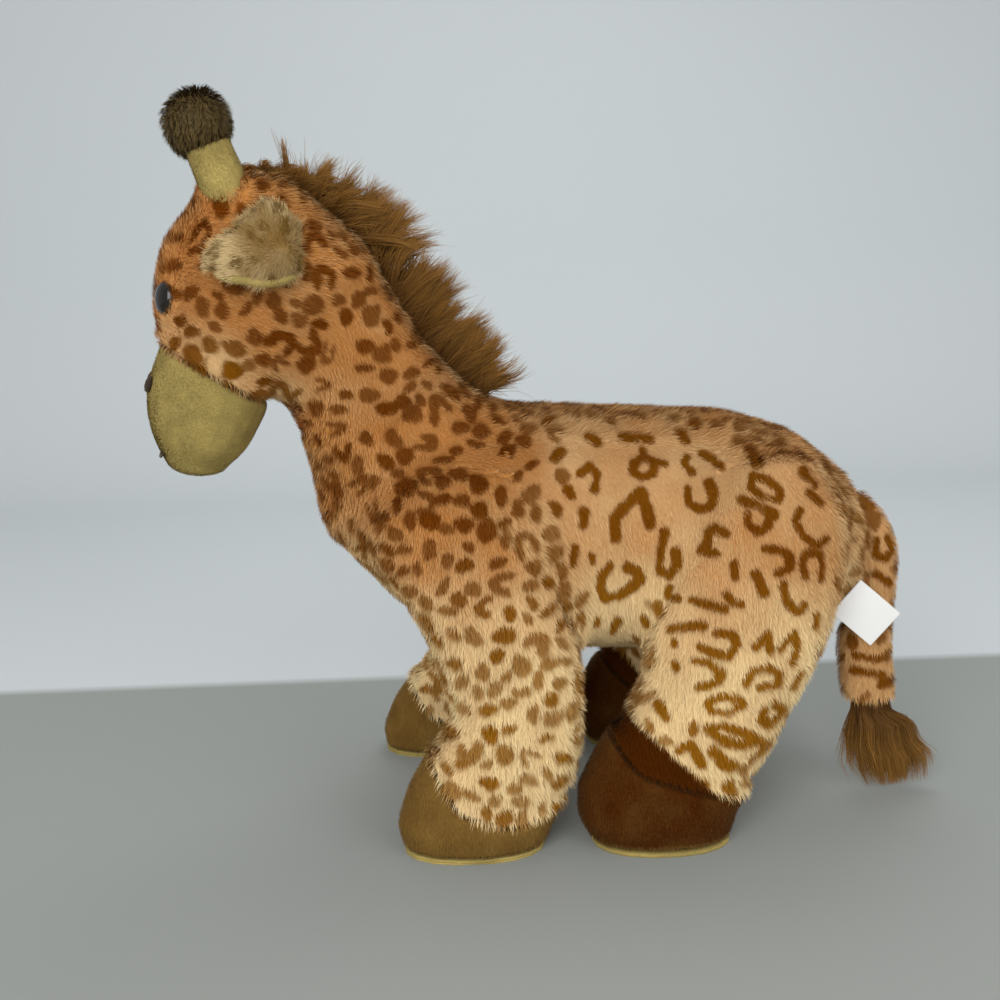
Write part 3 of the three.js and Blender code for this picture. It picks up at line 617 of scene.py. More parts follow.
def plush_material(name, base, spot, pale, pale_spot, tip, frost=0.3):
    """Fur: base colour and spots, paler where the field says, darker where the field of painted shade and
    boot brown says, with painted shade at the roots, and frosted at the tips.
    """
    shader = Shader(name)
    dusk = shader.add("ShaderNodeAttribute", attribute_name="dusk").outputs["Fac"]
    spotted, paleness, chance, along = shader.fur()
    ground = shader.mix(paleness, base, pale)
    mark = shader.mix(paleness, spot, pale_spot)
    blend = shader.mix(spotted, ground, mark)
    frosted = shader.ranged(along, 0.6, 1.0, 0.0, frost)
    less = shader.ranged(spotted, 0.0, 1.0, 1.0, 0.1)
    blend = shader.mix(shader.product(frosted, less), blend, tip)
    bright = shader.product(
        # Painted shade between the blades: each blade is darker at its root and brighter towards its tip.
        shader.ranged(along, 0.0, 0.8, 0.84, 1.03),
        shader.ranged(chance, 0.0, 1.0, 0.93, 1.07),
        shader.ranged(shader.noise(30.0), 0.3, 0.7, 0.95, 1.05),
        # Painted shade on upward-facing plush, and the boot's own chocolate brown, darken the colour here.
        shader.ranged(dusk, 0.0, 2.0, 1.0, 0.24),
    )
    return shader.finish(shader.scaled(blend, bright), 0.95, 0.1, TIP, 0.02)


def hair_material(name, root, tip):
    """Long or dark hair: from one colour at the root to another at the tip."""
    shader = Shader(name)
    _, paleness, chance, along = shader.fur()
    along = shader.ranged(along, 0.1, 1.0, 0.0, 1.0)
    share = shader.maths("ADD", shader.product(along, 0.7), shader.product(paleness, 0.3))
    tone = shader.ranged(chance, 0.0, 1.0, 0.65, 1.3)
    return shader.finish(shader.scaled(shader.mix(share, root, tip), tone), 0.6, 0.05, PALE, 0.15)


def velour_material(name, base, depth, shade=0.5):
    """Short pile: fine grain, brushed patches and a soft sheen."""
    shader = Shader(name)
    patches = shader.ranged(shader.noise(55.0, 4.0), 0.3, 0.7, 0.84, 1.22)
    grain = shader.ranged(shader.noise(1400.0, 2.0), 0.25, 0.75, 0.8, 1.25)
    dark = tuple(v * shade for v in base[:3]) + (1.0,)
    worn = shader.ranged(shader.noise(20.0), 0.35, 0.72, 0.0, 0.45)
    shader.bump(shader.noise(1100.0), depth, 0.6)
    tint = shader.scaled(shader.mix(worn, base, dark), shader.product(patches, grain))
    return shader.finish(tint, 0.95, 0.12, PALE, 0.04)


def eye_material():
    shader = Shader("black_eye_plastic")
    swirl = shader.ranged(shader.noise(160.0), 0.3, 0.7, 0.0, 1.0)
    tint = shader.mix(swirl, EYE_BLACK, EYE_BROWN)
    return shader.finish(tint, shader.ranged(shader.noise(300.0), 0.3, 0.7, 0.12, 0.18), specular=0.5)


def thread_material():
    shader = Shader("dark_stitch_thread")
    settings = {"bands_direction": "DIAGONAL"}
    twist = shader.pattern("ShaderNodeTexWave", settings, Scale=900.0, Distortion=2.0)
    tone = shader.ranged(twist, 0.0, 1.0, 0.7, 1.5)
    shader.bump(twist, 0.2 * MM, 0.7)
    return shader.finish(shader.scaled(THREAD, tone), 0.6, 0.2, PALE, 0.4)


def satin_material():
    shader = Shader("white_satin")
    weave = shader.pattern("ShaderNodeTexWave", {"bands_direction": "X"}, Scale=1200.0)
    tone = shader.ranged(weave, 0.0, 1.0, 0.96, 1.02)
    shader.bump(weave, 0.05 * MM, 0.4)
    return shader.finish(shader.scaled(SATIN, tone), 0.42, 0.1, PALE, 0.5)


def washer_material():
    shader = Shader("white_washer_plastic")
    tone = shader.ranged(shader.noise(200.0), 0.3, 0.7, 0.94, 1.02)
    shader.bump(shader.noise(900.0), 0.05 * MM, 0.3)
    return shader.finish(shader.scaled(WASHER, tone), 0.5)


MATERIALS = {
    "spotted_plush": plush_material("spotted_plush_fur", PEACH, SPOT, PALE, PALE_SPOT, TIP),
    "cream_plush": plush_material("cream_plush_fur", EAR, EAR_SPOT, CREAM, EAR_SPOT, CREAM),
    "tan_velour": velour_material("tan_velour_pile", TAN, 0.5 * MM),
    "brown_velour": plush_material(
        "brown_velour_pile", DARK_HOOF, DARK_HOOF, PALE_HOOF, PALE_HOOF, PALE_HOOF, 0.2),
    "knob_plush": hair_material("knob_fur", KNOB_ROOT, KNOB_TIP),
    "long_hair": hair_material("long_golden_hair", HAIR_ROOT, HAIR_TIP),
    "eye_plastic": eye_material(),
    "washer_plastic": washer_material(),
    "dark_thread": thread_material(),
    "label_satin": satin_material(),
}


def settle(piece, body, nodes=()):
    """Puts a finished piece on its body, or leaves it where it is when given several bodies, and hides the
    nodes it stands for.
    """
    if isinstance(body, str):
        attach(piece, body)
    else:
        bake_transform(piece)
    if nodes:
        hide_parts(*nodes)


BENDING = ("torso_body", "head_body")


# Spots


class Spot:
    """A mark in the plush: its place, the way its side and rise point, and its shape."""

    def __init__(self, place, normal, radius, kind, turn, stretch=1.2, thick=0.3, opening=0.7,
                 strength=1.0):
        self.place = np.asarray(place, float)
        self.normal = unit(np.asarray(normal, float))
        side = unit(np.cross(UP if abs(self.normal[2]) < 0.9 else [1.0, 0, 0], self.normal))
        rise = np.cross(self.normal, side)
        self.side = side * math.cos(turn) + rise * math.sin(turn)
        self.rise = rise * math.cos(turn) - side * math.sin(turn)
        self.radius = radius
        self.shape = SHAPES[kind]
        self.stretch = stretch
        self.thick = thick
        self.opening = opening
        self.strength = strength

    def cover(self, points, normals):
        """How far each point is in the spot, from 0 to 1."""
        away = points - self.place
        a = away @ self.side / self.radius + noise(points, 0.9 * self.radius, 31) * 0.27
        b = away @ self.rise / self.radius + noise(points, 0.9 * self.radius, 47) * 0.27
        near = (dots(away, away) < (1.7 * self.radius) ** 2) & (normals @ self.normal > 0.1)
        return near * self.strength * self.shape(a, b, self)


class Stroke:
    """A mark drawn along a line of places on the skin."""

    def __init__(self, places, normals, half_width):
        self.line = np.array(places, float)
        self.normal = unit(np.mean(normals, axis=0))
        self.half_width = half_width
        self.place = self.line.mean(axis=0)
        self.radius = np.linalg.norm(self.line - self.place, axis=1).max() + 1.4 * half_width

    def cover(self, points, normals):
        """How far each point is in the stroke, from 0 to 1."""
        away = np.full(len(points), np.inf)
        for start, end in zip(self.line[:-1], self.line[1:]):
            way = end - start
            t = np.clip((points - start) @ way / (way @ way), 0, 1)[:, None]
            away = np.minimum(away, np.linalg.norm(points - start - way * t, axis=1))
        edge = self.half_width * (1 + MARK_EDGE * noise(points, 2 * self.half_width, 31))
        return (normals @ self.normal > 0.1) * (1 - smoothstep(0.8, 1.15, away / edge))


def blob(a, b, spot):
    return 1 - smoothstep(0.74, 1.02, np.hypot(a, b * spot.stretch))


def arc(a, b, spot):
    """Part of a ring, open towards its side, with a faint middle."""
    reach = np.hypot(a, b * spot.stretch)
    band = 1 - smoothstep(0.75 * spot.thick, 1.1 * spot.thick, np.abs(reach - 0.68))
    closed = smoothstep(spot.opening - 0.15, spot.opening + 0.15, np.abs(np.arctan2(b * spot.stretch, a)))
    return band * closed


SHAPES = {"blob": blob, "arc": arc}


def spot_mask(spots, points, normals):
    """How far each point is in any of the spots."""
    mask = np.zeros(len(points))
    order = np.argsort(points[:, 0])
    along = points[order, 0]
    for spot in spots:
        reach = 1.5 * spot.radius
        low, high = np.searchsorted(along, (spot.place[0] - reach, spot.place[0] + reach))
        near = order[low:high]
        away = np.abs(points[near] - spot.place).max(axis=1)
        near = near[away < reach]
        if len(near):
            mask[near] = np.maximum(mask[near], spot.cover(points[near], normals[near]))
    return mask


# Fur


def add_mesh(name, points, faces, uv, material, custom):
    """A mesh of blades from arrays: faces as rows of corner numbers with -1 as padding."""
    mesh = bpy.data.meshes.new(name)
    sizes = (faces >= 0).sum(axis=1)
    corners = faces[faces >= 0]
    starts = np.concatenate([[0], np.cumsum(sizes)[:-1]])
    mesh.vertices.add(len(points))
    mesh.vertices.foreach_set("co", points.astype(np.float32).ravel())
    mesh.loops.add(len(corners))
    mesh.loops.foreach_set("vertex_index", corners.astype(np.int32))
    mesh.polygons.add(len(sizes))
    mesh.polygons.foreach_set("loop_start", starts.astype(np.int32))
    mesh.polygons.foreach_set("loop_total", sizes.astype(np.int32))
    layer = mesh.uv_layers.new(name="OFBake")
    layer.data.foreach_set("uv", uv[corners].astype(np.float32).ravel())
    mesh.update(calc_edges=True)
    smooth_faces(mesh)
    mesh.normals_split_custom_set_from_vertices(unit(custom).astype(np.float32))
    return link(name, mesh, material)


def strips(name, paths, sides, widths, values, dusk, normals, material, marks=None):
    """Strips along paths (blade, stop, xyz), with sides across them, that end in a point.
    marks is how far each stop lies in a spot."""
    count, stops, _ = paths.shape
    wide = stops - 1
    across = sides * (widths[:, :, None] / 2)
    rows = np.stack([paths[:, :wide] - across[:, :wide], paths[:, :wide] + across[:, :wide]], axis=2)
    points = np.concatenate([rows.reshape(count, wide * 2, 3), paths[:, wide:]], axis=1)
    each = wide * 2 + 1
    first = (np.arange(count) * each)[:, None]
    faces = []
    for k in range(wide - 1):
        faces.append(first + np.array([2 * k, 2 * k + 1, 2 * k + 3, 2 * k + 2]))
    tip = first + np.array([2 * wide - 2, 2 * wide - 1, 2 * wide, 0])
    tip[:, 3] = -1
    faces = np.stack([*faces, tip], axis=1).reshape(-1, 4)
    side_count = math.ceil(math.sqrt(count))
    cell = np.stack([np.arange(count) % side_count, np.arange(count) // side_count], axis=1)[:, None]
    in_cell = []
    for k in range(wide):
        in_cell += [(side, CELL_ROOT + CELL_LENGTH * k / wide) for side in CELL_SIDES]
    in_cell.append(CELL_TIP)
    uv = ((cell + np.array(in_cell)) / side_count).reshape(-1, 2)
    stop_of = np.array([k // 2 for k in range(wide * 2)] + [wide])
    along = stop_of / wide
    colours = np.repeat(values[:, None, :], each, axis=1)
    colours[:, :, 3] = along
    if marks is not None:
        colours[:, :, 0] = marks[:, stop_of]
    custom = normals[:, stop_of] if normals.ndim == 3 else np.repeat(normals[:, None, :], each, axis=1)
    piece = add_mesh(name, points.reshape(-1, 3), faces, uv, material, custom.reshape(-1, 3))
    write_fur_attribute(piece.data, colours.reshape(-1, 4), np.repeat(dusk, each))
    return piece


def pelt(name, skin, slot, seed, spots=None, chosen=slice(None), spacing=FUR_SPACING, width=FUR_WIDTH,
         bed=0.8 * MM, clump=4.2 * MM):
    """A pelt of blades on a skin, or on the triangles of it that are chosen."""
    rng = np.random.default_rng(seed)
    triangles = skin.triangles[chosen]
    a, b, c = (skin.points[triangles[:, k]] for k in range(3))
    bare = skin.fields["bare"][triangles].mean(axis=1)
    area = np.linalg.norm(np.cross(b - a, c - a), axis=1) / 2 * (1 - bare)
    heaped = np.cumsum(area)
    count = min(int(heaped[-1] / spacing**2), MOST_BLADES)
    place = (np.arange(count) + rng.random(count)) * heaped[-1] / count
    face = np.minimum(np.searchsorted(heaped, place), len(triangles) - 1)
    u, v = rng.random((2, count))
    u, v = np.where(u + v > 1, (1 - u, 1 - v), (u, v))
    shares = np.stack([1 - u - v, u, v], axis=1)
    corners = triangles[face]

    def at(values):
        picked = values[corners]
        return (picked * (shares if values.ndim == 1 else shares[..., None])).sum(axis=1)

    root = at(skin.points)
    normal = unit(at(skin.normals))
    flow = at(skin.fields["flow"])
    shag = at(skin.fields["shag"])[:, None]
    length = at(skin.fields["length"]) * (0.8 + 0.4 * rng.random(count))
    length *= 1 + (0.05 + 0.25 * shag[:, 0]) * noise(root, 9 * MM, seed)
    lift = at(skin.fields["lift"]) + 7 * rng.normal(size=count)
    stray = 0.4 * noise_vectors(root, 16 * MM, 5) + 0.35 * noise_vectors(root, 5 * MM, 11)
    flow = unit(flow - normal * dots(flow, normal)[:, None])
    flow = flow + (0.25 + shag) * (stray + 0.15 * rng.normal(size=(count, 3)))
    flow = unit(flow - normal * dots(flow, normal)[:, None])
    rising = np.radians(np.clip(lift, 4, 86))[:, None]
    laid = np.radians(np.clip(lift * 0.55, 2, 80))[:, None]
    start_way = flow * np.cos(rising) + normal * np.sin(rising)
    end_way = flow * np.cos(laid) + normal * np.sin(laid)
    half = (length / 2)[:, None]
    base = root - normal * bed
    middle = base + start_way * half
    tip = middle + end_way * half
    cells = np.floor(root / clump).astype(np.int64)
    centre = np.stack([cell_number(cells, seed + 7 + k) for k in range(3)], axis=1)
    drawn = (cells + centre) * clump - root
    drawn -= normal * dots(drawn, normal)[:, None]
    tip += drawn * (0.03 + 0.5 * shag)
    middle += drawn * (0.01 + 0.18 * shag)
    side = unit(np.cross(normal, flow))
    roll = np.radians(rng.uniform(-50, 50, count))[:, None]
    side = side * np.cos(roll) + normal * np.sin(roll)
    paths = np.stack([base, middle, tip], axis=1)
    sides = np.repeat(side[:, None], 3, axis=1)
    widths = width * (0.8 + 0.4 * rng.random(count))[:, None] * np.array([1.0, 0.85, 0.0])
    face_normal = unit(np.cross(end_way, side))
    face_normal *= np.sign(dots(face_normal, normal))[:, None]
    facing = unit(normal * 0.75 + face_normal * 0.3 + flow * 0.1)
    flip = dots(np.cross(side, end_way), normal) < 0
    sides[flip] *= -1
    marks = np.zeros((count, 3))
    if spots:
        jitter = rng.normal(size=(count, 3)) * 0.5 * MM
        for stop, place in ((1, middle), (2, tip)):
            flat = place - normal * dots(place - root, normal)[:, None]
            marks[:, stop] = spot_mask(spots, flat + jitter, normal)
        marks[:, 0] = marks[:, 1]
    if "boot" in skin.fields:
        marks = np.maximum(marks, at(skin.fields["boot"])[:, None])
    values = np.zeros((count, 4))
    values[:, 1] = np.clip(at(skin.fields["pale"]) + 0.08 * rng.normal(size=count), 0, 1)
    values[:, 2] = rng.random(count)
    dusk = at(skin.fields["dusk"])
    return strips(name, paths, sides, widths, values, dusk, facing, MATERIALS[slot], marks)


def add_pelt(name, skin, slot, body_name, seed, **settings):
    settle(pelt(name, skin, slot, seed, **settings), body_name)


def plain_fields(skin, length, lift, pale=0.0, dusk=0.0, shag=0.3):
    """Fields that are even all over a skin, to be changed where they aren't."""
    count = len(skin.points)
    skin.set(
        length=np.full(count, length),
        lift=np.full(count, float(lift)),
        pale=np.full(count, pale),
        dusk=np.full(count, dusk),
        shag=np.full(count, shag),
        bare=np.zeros(count),
    )


# Body: torso, belly, neck and head under one skin

LEGS = ("front_left", "front_right", "hind_left", "hind_right")
leg_solids = Near(*[f"leg_{leg}" for leg in LEGS])
torso_solid = Near("torso", "belly_panel", "neck")
muzzle_solid = Near("muzzle")
hoof_solids = Near(*[f"hoof_{leg}" for leg in LEGS])
eye_solids = Near("eye_left", "eye_right")
mane_solids = Near("mane_head", "mane_neck")
horn_solids = Near("horn_stem_left", "horn_stem_right")


def bend_share(points):
    way = np.subtract(BEND_END, BEND_START)
    return smoothstep(0, 1, (points - np.array(BEND_START)) @ way / (way @ way))


def body_depth(points, normals):
    muzzle_near = muzzle_solid.distance(points)
    horn_near = horn_solids.distance(points)
    depth = lerp(1.2 * MM, FUR_DEPTH, smoothstep(1 * MM, 14 * MM, muzzle_near))
    depth = np.minimum(depth, lerp(2 * MM, FUR_DEPTH, smoothstep(1 * MM, 10 * MM, horn_near)))
    eye_near = eye_solids.distance(points)
    return lerp(FUR_DEPTH + EYE_SINK, depth, smoothstep(0.5 * MM, 4 * MM, eye_near))


BODY_NODES = ("torso", "belly_panel", "neck", "head")
LEG_NODES = tuple(f"leg_{leg}" for leg in LEGS)
EYE_NODES = ("eye_washer_left", "eye_washer_right", "eye_left", "eye_right")
trunk_solid = Near(*BODY_NODES, *EYE_NODES)


def near_seams(points):
    """1 where two of the solids meet, and less away from there."""
    solids = [Near("torso", "belly_panel"), Near("neck"), Near("head"), leg_solids]
    second = np.sort([solid.distance(points) for solid in solids], axis=0)[1]
    return 1 - smoothstep(6 * MM, 24 * MM, second)


def down_the_legs(points):
    """Whether each point lies further down a leg than the torso's plush reaches."""
    return (trunk_solid.distance(points) > SEAM_REACH) & (leg_solids.distance(points) < 6 * MM)


body = make_skin((*BODY_NODES, *EYE_NODES, *LEG_NODES), BODY_VOXEL, SMOOTH_ROUNDS, body_depth,
                 even=near_seams, drop=down_the_legs)


def dress_body(skin):
    outer = skin.points + skin.normals * FUR_DEPTH
    nearness = [Near(node).distance(outer) for node in BODY_NODES]
    nearest = np.argmin(nearness, axis=0)
    head = smoothstep(0.4, 1, bend_share(outer))
    torso_flow = np.array([0.35, 0.0, -1.0])
    head_flow = HEAD_BACK + np.array([0.0, 0.0, -0.45])
    back_flow = np.array([1.0, 0.0, 0.15])
    flow = lerp(np.tile(torso_flow, (len(outer), 1)), head_flow, head)
    flow = lerp(flow, back_flow, smoothstep(0.6, 0.95, skin.normals[:, 2]) * (1 - head))
    front = smoothstep(0.4, 0.95, -skin.normals @ HEAD_BACK) * head
    flow = lerp(flow, UP + HEAD_BACK * 0.3, front)
    plain_fields(skin, 6 * MM, 58)
    muzzle_near = muzzle_solid.distance(outer)
    eye_near = eye_solids.distance(outer)
    leg_near = leg_solids.distance(outer)
    mane_near = mane_solids.distance(outer)
    face = 1 - smoothstep(4 * MM, 45 * MM, muzzle_near)
    top = smoothstep(0.72, 0.98, skin.normals[:, 2]) * (1 - head)
    rump = smoothstep(0.16, 0.21, outer[:, 0])
    chest = (1 - smoothstep(-0.16, -0.11, outer[:, 0])) * (1 - head)
    seam = 1 - smoothstep(2 * MM, 16 * MM, leg_near)
    seam *= smoothstep(-0.4, 0.0, -skin.normals[:, 2] + 0.2)
    fringe = 1 - smoothstep(4 * MM, 16 * MM, mane_near)
    behind_leg = seam * smoothstep(-0.2, 0.2, skin.normals[:, 0])
    shag = np.maximum.reduce([0.1 + 0.15 * head, 0.65 * top, 0.85 * rump, 0.4 * chest, 0.7 * behind_leg,
                              0.5 * fringe])
    length = lerp(6 * MM, 10 * MM, shag)
    length = lerp(length, 6 * MM, face)
    length = lerp(5 * MM, length, smoothstep(2 * MM, 10 * MM, eye_near))
    belly = (nearest == 1).astype(float)
    low = 1 - smoothstep(0.14, 0.26, outer[:, 2])
    flank = smoothstep(-0.06, 0.03, outer[:, 0])
    ruffled = noise(outer, 26 * MM, 71) * (0.18 + 0.2 * face)
    # Paler in these places, and less pale on the top, which is painted shade.
    pale = np.maximum.reduce([belly, 0.42 * face, 0.9 * low, 0.34 * flank, 0.4 * rump, 0.4 * fringe,
                              0.45 * behind_leg]) * (1 - 0.7 * top)
    pale = np.clip(pale + ruffled * (1 - belly), 0, 1)
    for solid, near in ((muzzle_solid, muzzle_near), (horn_solids, horn_solids.distance(outer))):
        edge = 1 - smoothstep(2 * MM, 9 * MM, near)
        flow = lerp(flow, unit(solid.find(outer)[0] - outer), edge)
        length = lerp(length, 8 * MM, edge)
    covered = muzzle_solid.covers(outer, skin.normals, 0.3 * MM)
    covered |= mane_solids.covers(outer, skin.normals, 2 * MM)
    _, inward, inside = leg_solids.find(skin.points)
    covered |= inside & (inward > 9 * MM) & (trunk_solid.distance(skin.points) > 5 * MM)
    covered |= eye_near < 0.5 * MM
    # Painted shade: plush that faces upward is painted darker, the back's top most of all.
    upper = smoothstep(0.2, 0.7, skin.normals[:, 2])
    dusk = np.maximum(0.85 * top, 0.4 * upper)
    skin.set(flow=flow, length=length, pale=pale, dusk=dusk, bare=covered, belly=belly, shag=shag)


dress_body(body)


# Legs


def into_torso(points, normals, depth):
    """The same depth, but sunk at the seam with the torso and reaching its skin on the cut side."""
    torso_near = torso_solid.distance(points)
    depth = lerp(FUR_DEPTH + SEAM_SINK, depth, smoothstep(1 * MM, 20 * MM, torso_near))
    cut = smoothstep(0.3, 0.8, torso_solid.facing(points, normals))
    cut *= 1 - smoothstep(3 * MM, 9 * MM, torso_near)
    return lerp(depth, -FUR_DEPTH - 1 * MM, cut)


def leg_depth(points, normals):
    hoof_near = hoof_solids.distance(points)
    depth = lerp(1.5 * MM, FUR_DEPTH, smoothstep(1 * MM, 10 * MM, hoof_near))
    return into_torso(points, normals, depth)


def dress_leg(skin, outward):
    outer = skin.points + skin.normals * FUR_DEPTH
    plain_fields(skin, 6 * MM, 56)
    low = 1 - smoothstep(0.11, 0.25, outer[:, 2])
    rear = smoothstep(0.2, 0.8, skin.normals[:, 0])
    top = smoothstep(0.3, 0.8, skin.normals[:, 2])
    seam = 1 - smoothstep(2 * MM, 14 * MM, torso_solid.distance(outer))
    near_hoof = 1 - smoothstep(4 * MM, 20 * MM, hoof_solids.distance(outer))
    hind = smoothstep(0.02, 0.06, outer[:, 0])
    ruffled = noise(outer, 24 * MM, 71) * 0.2
    pale = np.maximum.reduce([0.95 * low, 0.5 * rear, 0.3 * hind, 0.3 * seam * (1 - top)])
    pale = np.clip(pale + ruffled, 0, 1)
    shag = np.maximum.reduce([0.1 + 0.45 * low, 0.7 * rear, 0.4 * seam, 0.75 * near_hoof])
    flow = np.tile([0.1, 0.0, -1.0], (len(outer), 1))
    flow = lerp(flow, np.array([0.1, outward, -0.8]), top)
    covered = trunk_solid.distance(outer) < SEAM_REACH - 7 * MM
    above = outer[:, 2] - BOOT_TOP + (outer[:, 0] - BOOT_FRONT) * BOOT_SLOPE
    boot = (1 - smoothstep(-2 * MM, 2 * MM, above)) * (outer[:, 0] > 0.02)
    covered |= hoof_solids.covers(outer, skin.normals, 5 * MM) & (boot < 0.5)
    covered |= hoof_solids.covers(outer, skin.normals, 1 * MM)
    covered |= (skin.normals[:, 2] < -0.3) & (near_hoof > 0)
    shag = lerp(shag, 0.1, boot)
    # The boot's own chocolate brown, and painted shade on the leg's upward-facing top, darken the plush.
    skin.set(flow=flow, pale=pale * (1 - boot), bare=covered, shag=shag, length=lerp(6 * MM, 10 * MM, shag),
             boot=boot, dusk=np.maximum(1.5 * boot, 0.7 * top))


leg_skins = {leg: make_skin([f"leg_{leg}"], LIMB_VOXEL, SMOOTH_ROUNDS, leg_depth) for leg in LEGS}
for leg, leg_skin in leg_skins.items():
    dress_leg(leg_skin, -1.0 if leg.endswith("left") else 1.0)


# Tail


def tail_depth(points, normals):
    return into_torso(points, normals, np.full(len(points), 4 * MM))


tail_skin = make_skin(["tail"], LIMB_VOXEL, 5, tail_depth)
plain_fields(tail_skin, 7 * MM, 46, pale=0.3, shag=0.45)
tail_skin.set(flow=np.tile([0.05, 0.0, -1.0], (len(tail_skin.points), 1)))


# Spots on the plush


# Marks on the near side, each by half its width and its line of places in the photograph, in pixels.
PHOTO_STROKES = (
    (5.0, (580, 475), (590, 467), (597, 475), (595, 490)), (5.5, (568, 489), (572, 496)),
    (6.0, (584, 513), (583, 524)), (4.5, (574, 548), (572, 565)), (4.0, (592, 556), (592, 562)),
    (4.5, (635, 463), (633, 473), (642, 478), (653, 475), (655, 462), (643, 457), (635, 463)),
    (4.5, (642, 450), (643, 457)), (4.5, (655, 462), (665, 464)),
    (6.0, (615, 537), (613, 518), (627, 505), (640, 493), (648, 512), (650, 525)),
    (5.5, (610, 565), (602, 575), (600, 588), (605, 597), (618, 595), (632, 587), (640, 578), (637, 570),
     (627, 567)),
    (5.0, (665, 533), (662, 548), (660, 563), (662, 572)), (5.5, (676, 552), (678, 563), (670, 577)),
    (4.5, (688, 490), (688, 503), (700, 510), (711, 508), (713, 498)), (6.0, (709, 484), (713, 494)),
    (4.5, (687, 458), (683, 463), (693, 473)), (6.0, (680, 434), (685, 441)),
    (5.0, (702, 455), (712, 460), (723, 468)), (4.5, (693, 601), (725, 609)),
    (5.0, (671, 629), (703, 626)), (4.5, (671, 587), (669, 597), (678, 599)),
    (4.5, (596, 618), (596, 623)), (4.5, (618, 618), (612, 630)), (6.0, (645, 620), (648, 624)),
    (6.0, (590, 438), (597, 443)), (6.0, (622, 438), (648, 440)), (6.0, (555, 460), (562, 452)),
    (7.5, (749, 451), (757, 463)),
    (4.5, (753, 477), (751, 489), (763, 497), (779, 502), (779, 491), (767, 481), (753, 477)),
    (5.5, (743, 501), (757, 505), (773, 516)),
    (4.5, (747, 513), (748, 525), (757, 533), (767, 527), (769, 517)),
    (4.8, (727, 535), (717, 528), (709, 533), (708, 543), (703, 551), (717, 553)),
    (4.5, (735, 563), (735, 577)), (5.5, (755, 575), (764, 593)),
    (4.5, (763, 549), (779, 549), (789, 557), (789, 569), (777, 573)),
    (4.5, (727, 595), (733, 603), (741, 605)),
    (4.0, (799, 511), (795, 521), (803, 537), (817, 545), (825, 539)),
    (4.0, (805, 577), (801, 565), (805, 553), (819, 555), (821, 569), (819, 579)),
    (5.5, (795, 455), (803, 475), (813, 485)), (4.5, (809, 493), (819, 503)),
    (3.5, (843, 545), (841, 560), (850, 568), (857, 560), (857, 545)),
    (4.5, (783, 585), (785, 601), (795, 613), (803, 605)), (4.5, (815, 615), (813, 627)),
    (6.0, (830, 603), (832, 607)),
    (4.5, (717, 633), (733, 635), (737, 645), (729, 655), (717, 655), (701, 647)),
    (4.5, (675, 641), (675, 645)), (4.5, (676, 664), (677, 668)),
    (4.5, (695, 661), (709, 663), (721, 673), (717, 683), (699, 687)),
    (4.5, (755, 647), (767, 635), (770, 651)), (4.0, (779, 649), (793, 633), (795, 651), (791, 663)),
    (4.5, (745, 683), (753, 671), (767, 667), (779, 673), (775, 685), (759, 687)),
    (4.0, (711, 701), (723, 697), (741, 699), (743, 705), (727, 713), (711, 711), (707, 705)),
    (4.5, (773, 703), (783, 707), (781, 721), (767, 725), (759, 719), (763, 709)),
    (4.5, (791, 685), (799, 673)),
    (5.0, (707, 729), (723, 725), (745, 733), (757, 739), (743, 745), (723, 741), (707, 729)),
    (6.5, (713, 751), (723, 763), (729, 765)), (6.0, (661, 705), (667, 719)),
    (5.0, (678, 751), (691, 745), (701, 765)), (5.0, (690, 779), (705, 783)),
    (4.5, (876, 540), (874, 553), (883, 560), (891, 550), (887, 538)), (5.0, (876, 575), (888, 583)),
    (4.5, (856, 655), (878, 659)), (4.5, (854, 670), (882, 674)), (5.0, (880, 684), (890, 682)),
)


def camera_axes():
    """The camera's right, up and forward directions."""
    pitch, roll = math.radians(CAMERA_PITCH), math.radians(CAMERA_ROLL)
    forward = np.array([0.0, math.cos(pitch), -math.sin(pitch)])
    over = np.array([0.0, math.sin(pitch), math.cos(pitch)])
    level = np.array([1.0, 0.0, 0.0])
    right = level * math.cos(roll) - over * math.sin(roll)
    upward = level * math.sin(roll) + over * math.cos(roll)
    return right, upward, forward


def photo_spots(skins):
    """The chosen marks, where the camera's rays meet the skins."""
    right, upward, forward = camera_axes()
    trees = [skin.tree() for skin in skins]
    strokes = []
    for half_width, *line in PHOTO_STROKES:
        places, normals, distances = [], [], []
        for x, y in line:
            ray = forward * FOCAL_PIXELS + right * (x - PHOTO_SIDE / 2) - upward * (y - PHOTO_SIDE / 2)
            hits = [tree.ray_cast(Vector(CAMERA_PLACE), Vector(unit(ray))) for tree in trees]
            hits = [hit for hit in hits if hit[0] is not None]
            if hits:
                place, normal, _, distance = min(hits, key=lambda hit: hit[3])
                places.append(place)
                normals.append(normal)
                distances.append(distance)
        if len(places) > 1 and max(distances) - min(distances) < 30 * MM:
            scale = MARK_GROWTH * np.mean(distances) / FOCAL_PIXELS
            strokes.append(Stroke(places, normals, scale * half_width))
    return strokes


def near_side(places, normals):
    """Whether each place lies where the photograph shows the flank, rump or thigh."""
    x, z = places[:, 0], places[:, 2]
    return (x > 0.015) & (x < 0.2) & (z > 0.09) & (normals[:, 1] < -0.45)


def mirrored(strokes, skins):
    """The chosen marks again on the far side."""
    trees = [skin.tree() for skin in skins]
    copies = []
    for stroke in strokes:
        places, normals = [], []
        for point in stroke.line:
            found = [tree.find_nearest(Vector(point * MIRROR)) for tree in trees]
            place, normal, _, _ = min(found, key=lambda item: item[3])
            places.append(place)
            normals.append(normal)
        copies.append(Stroke(places, normals, stroke.half_width))
    return copies


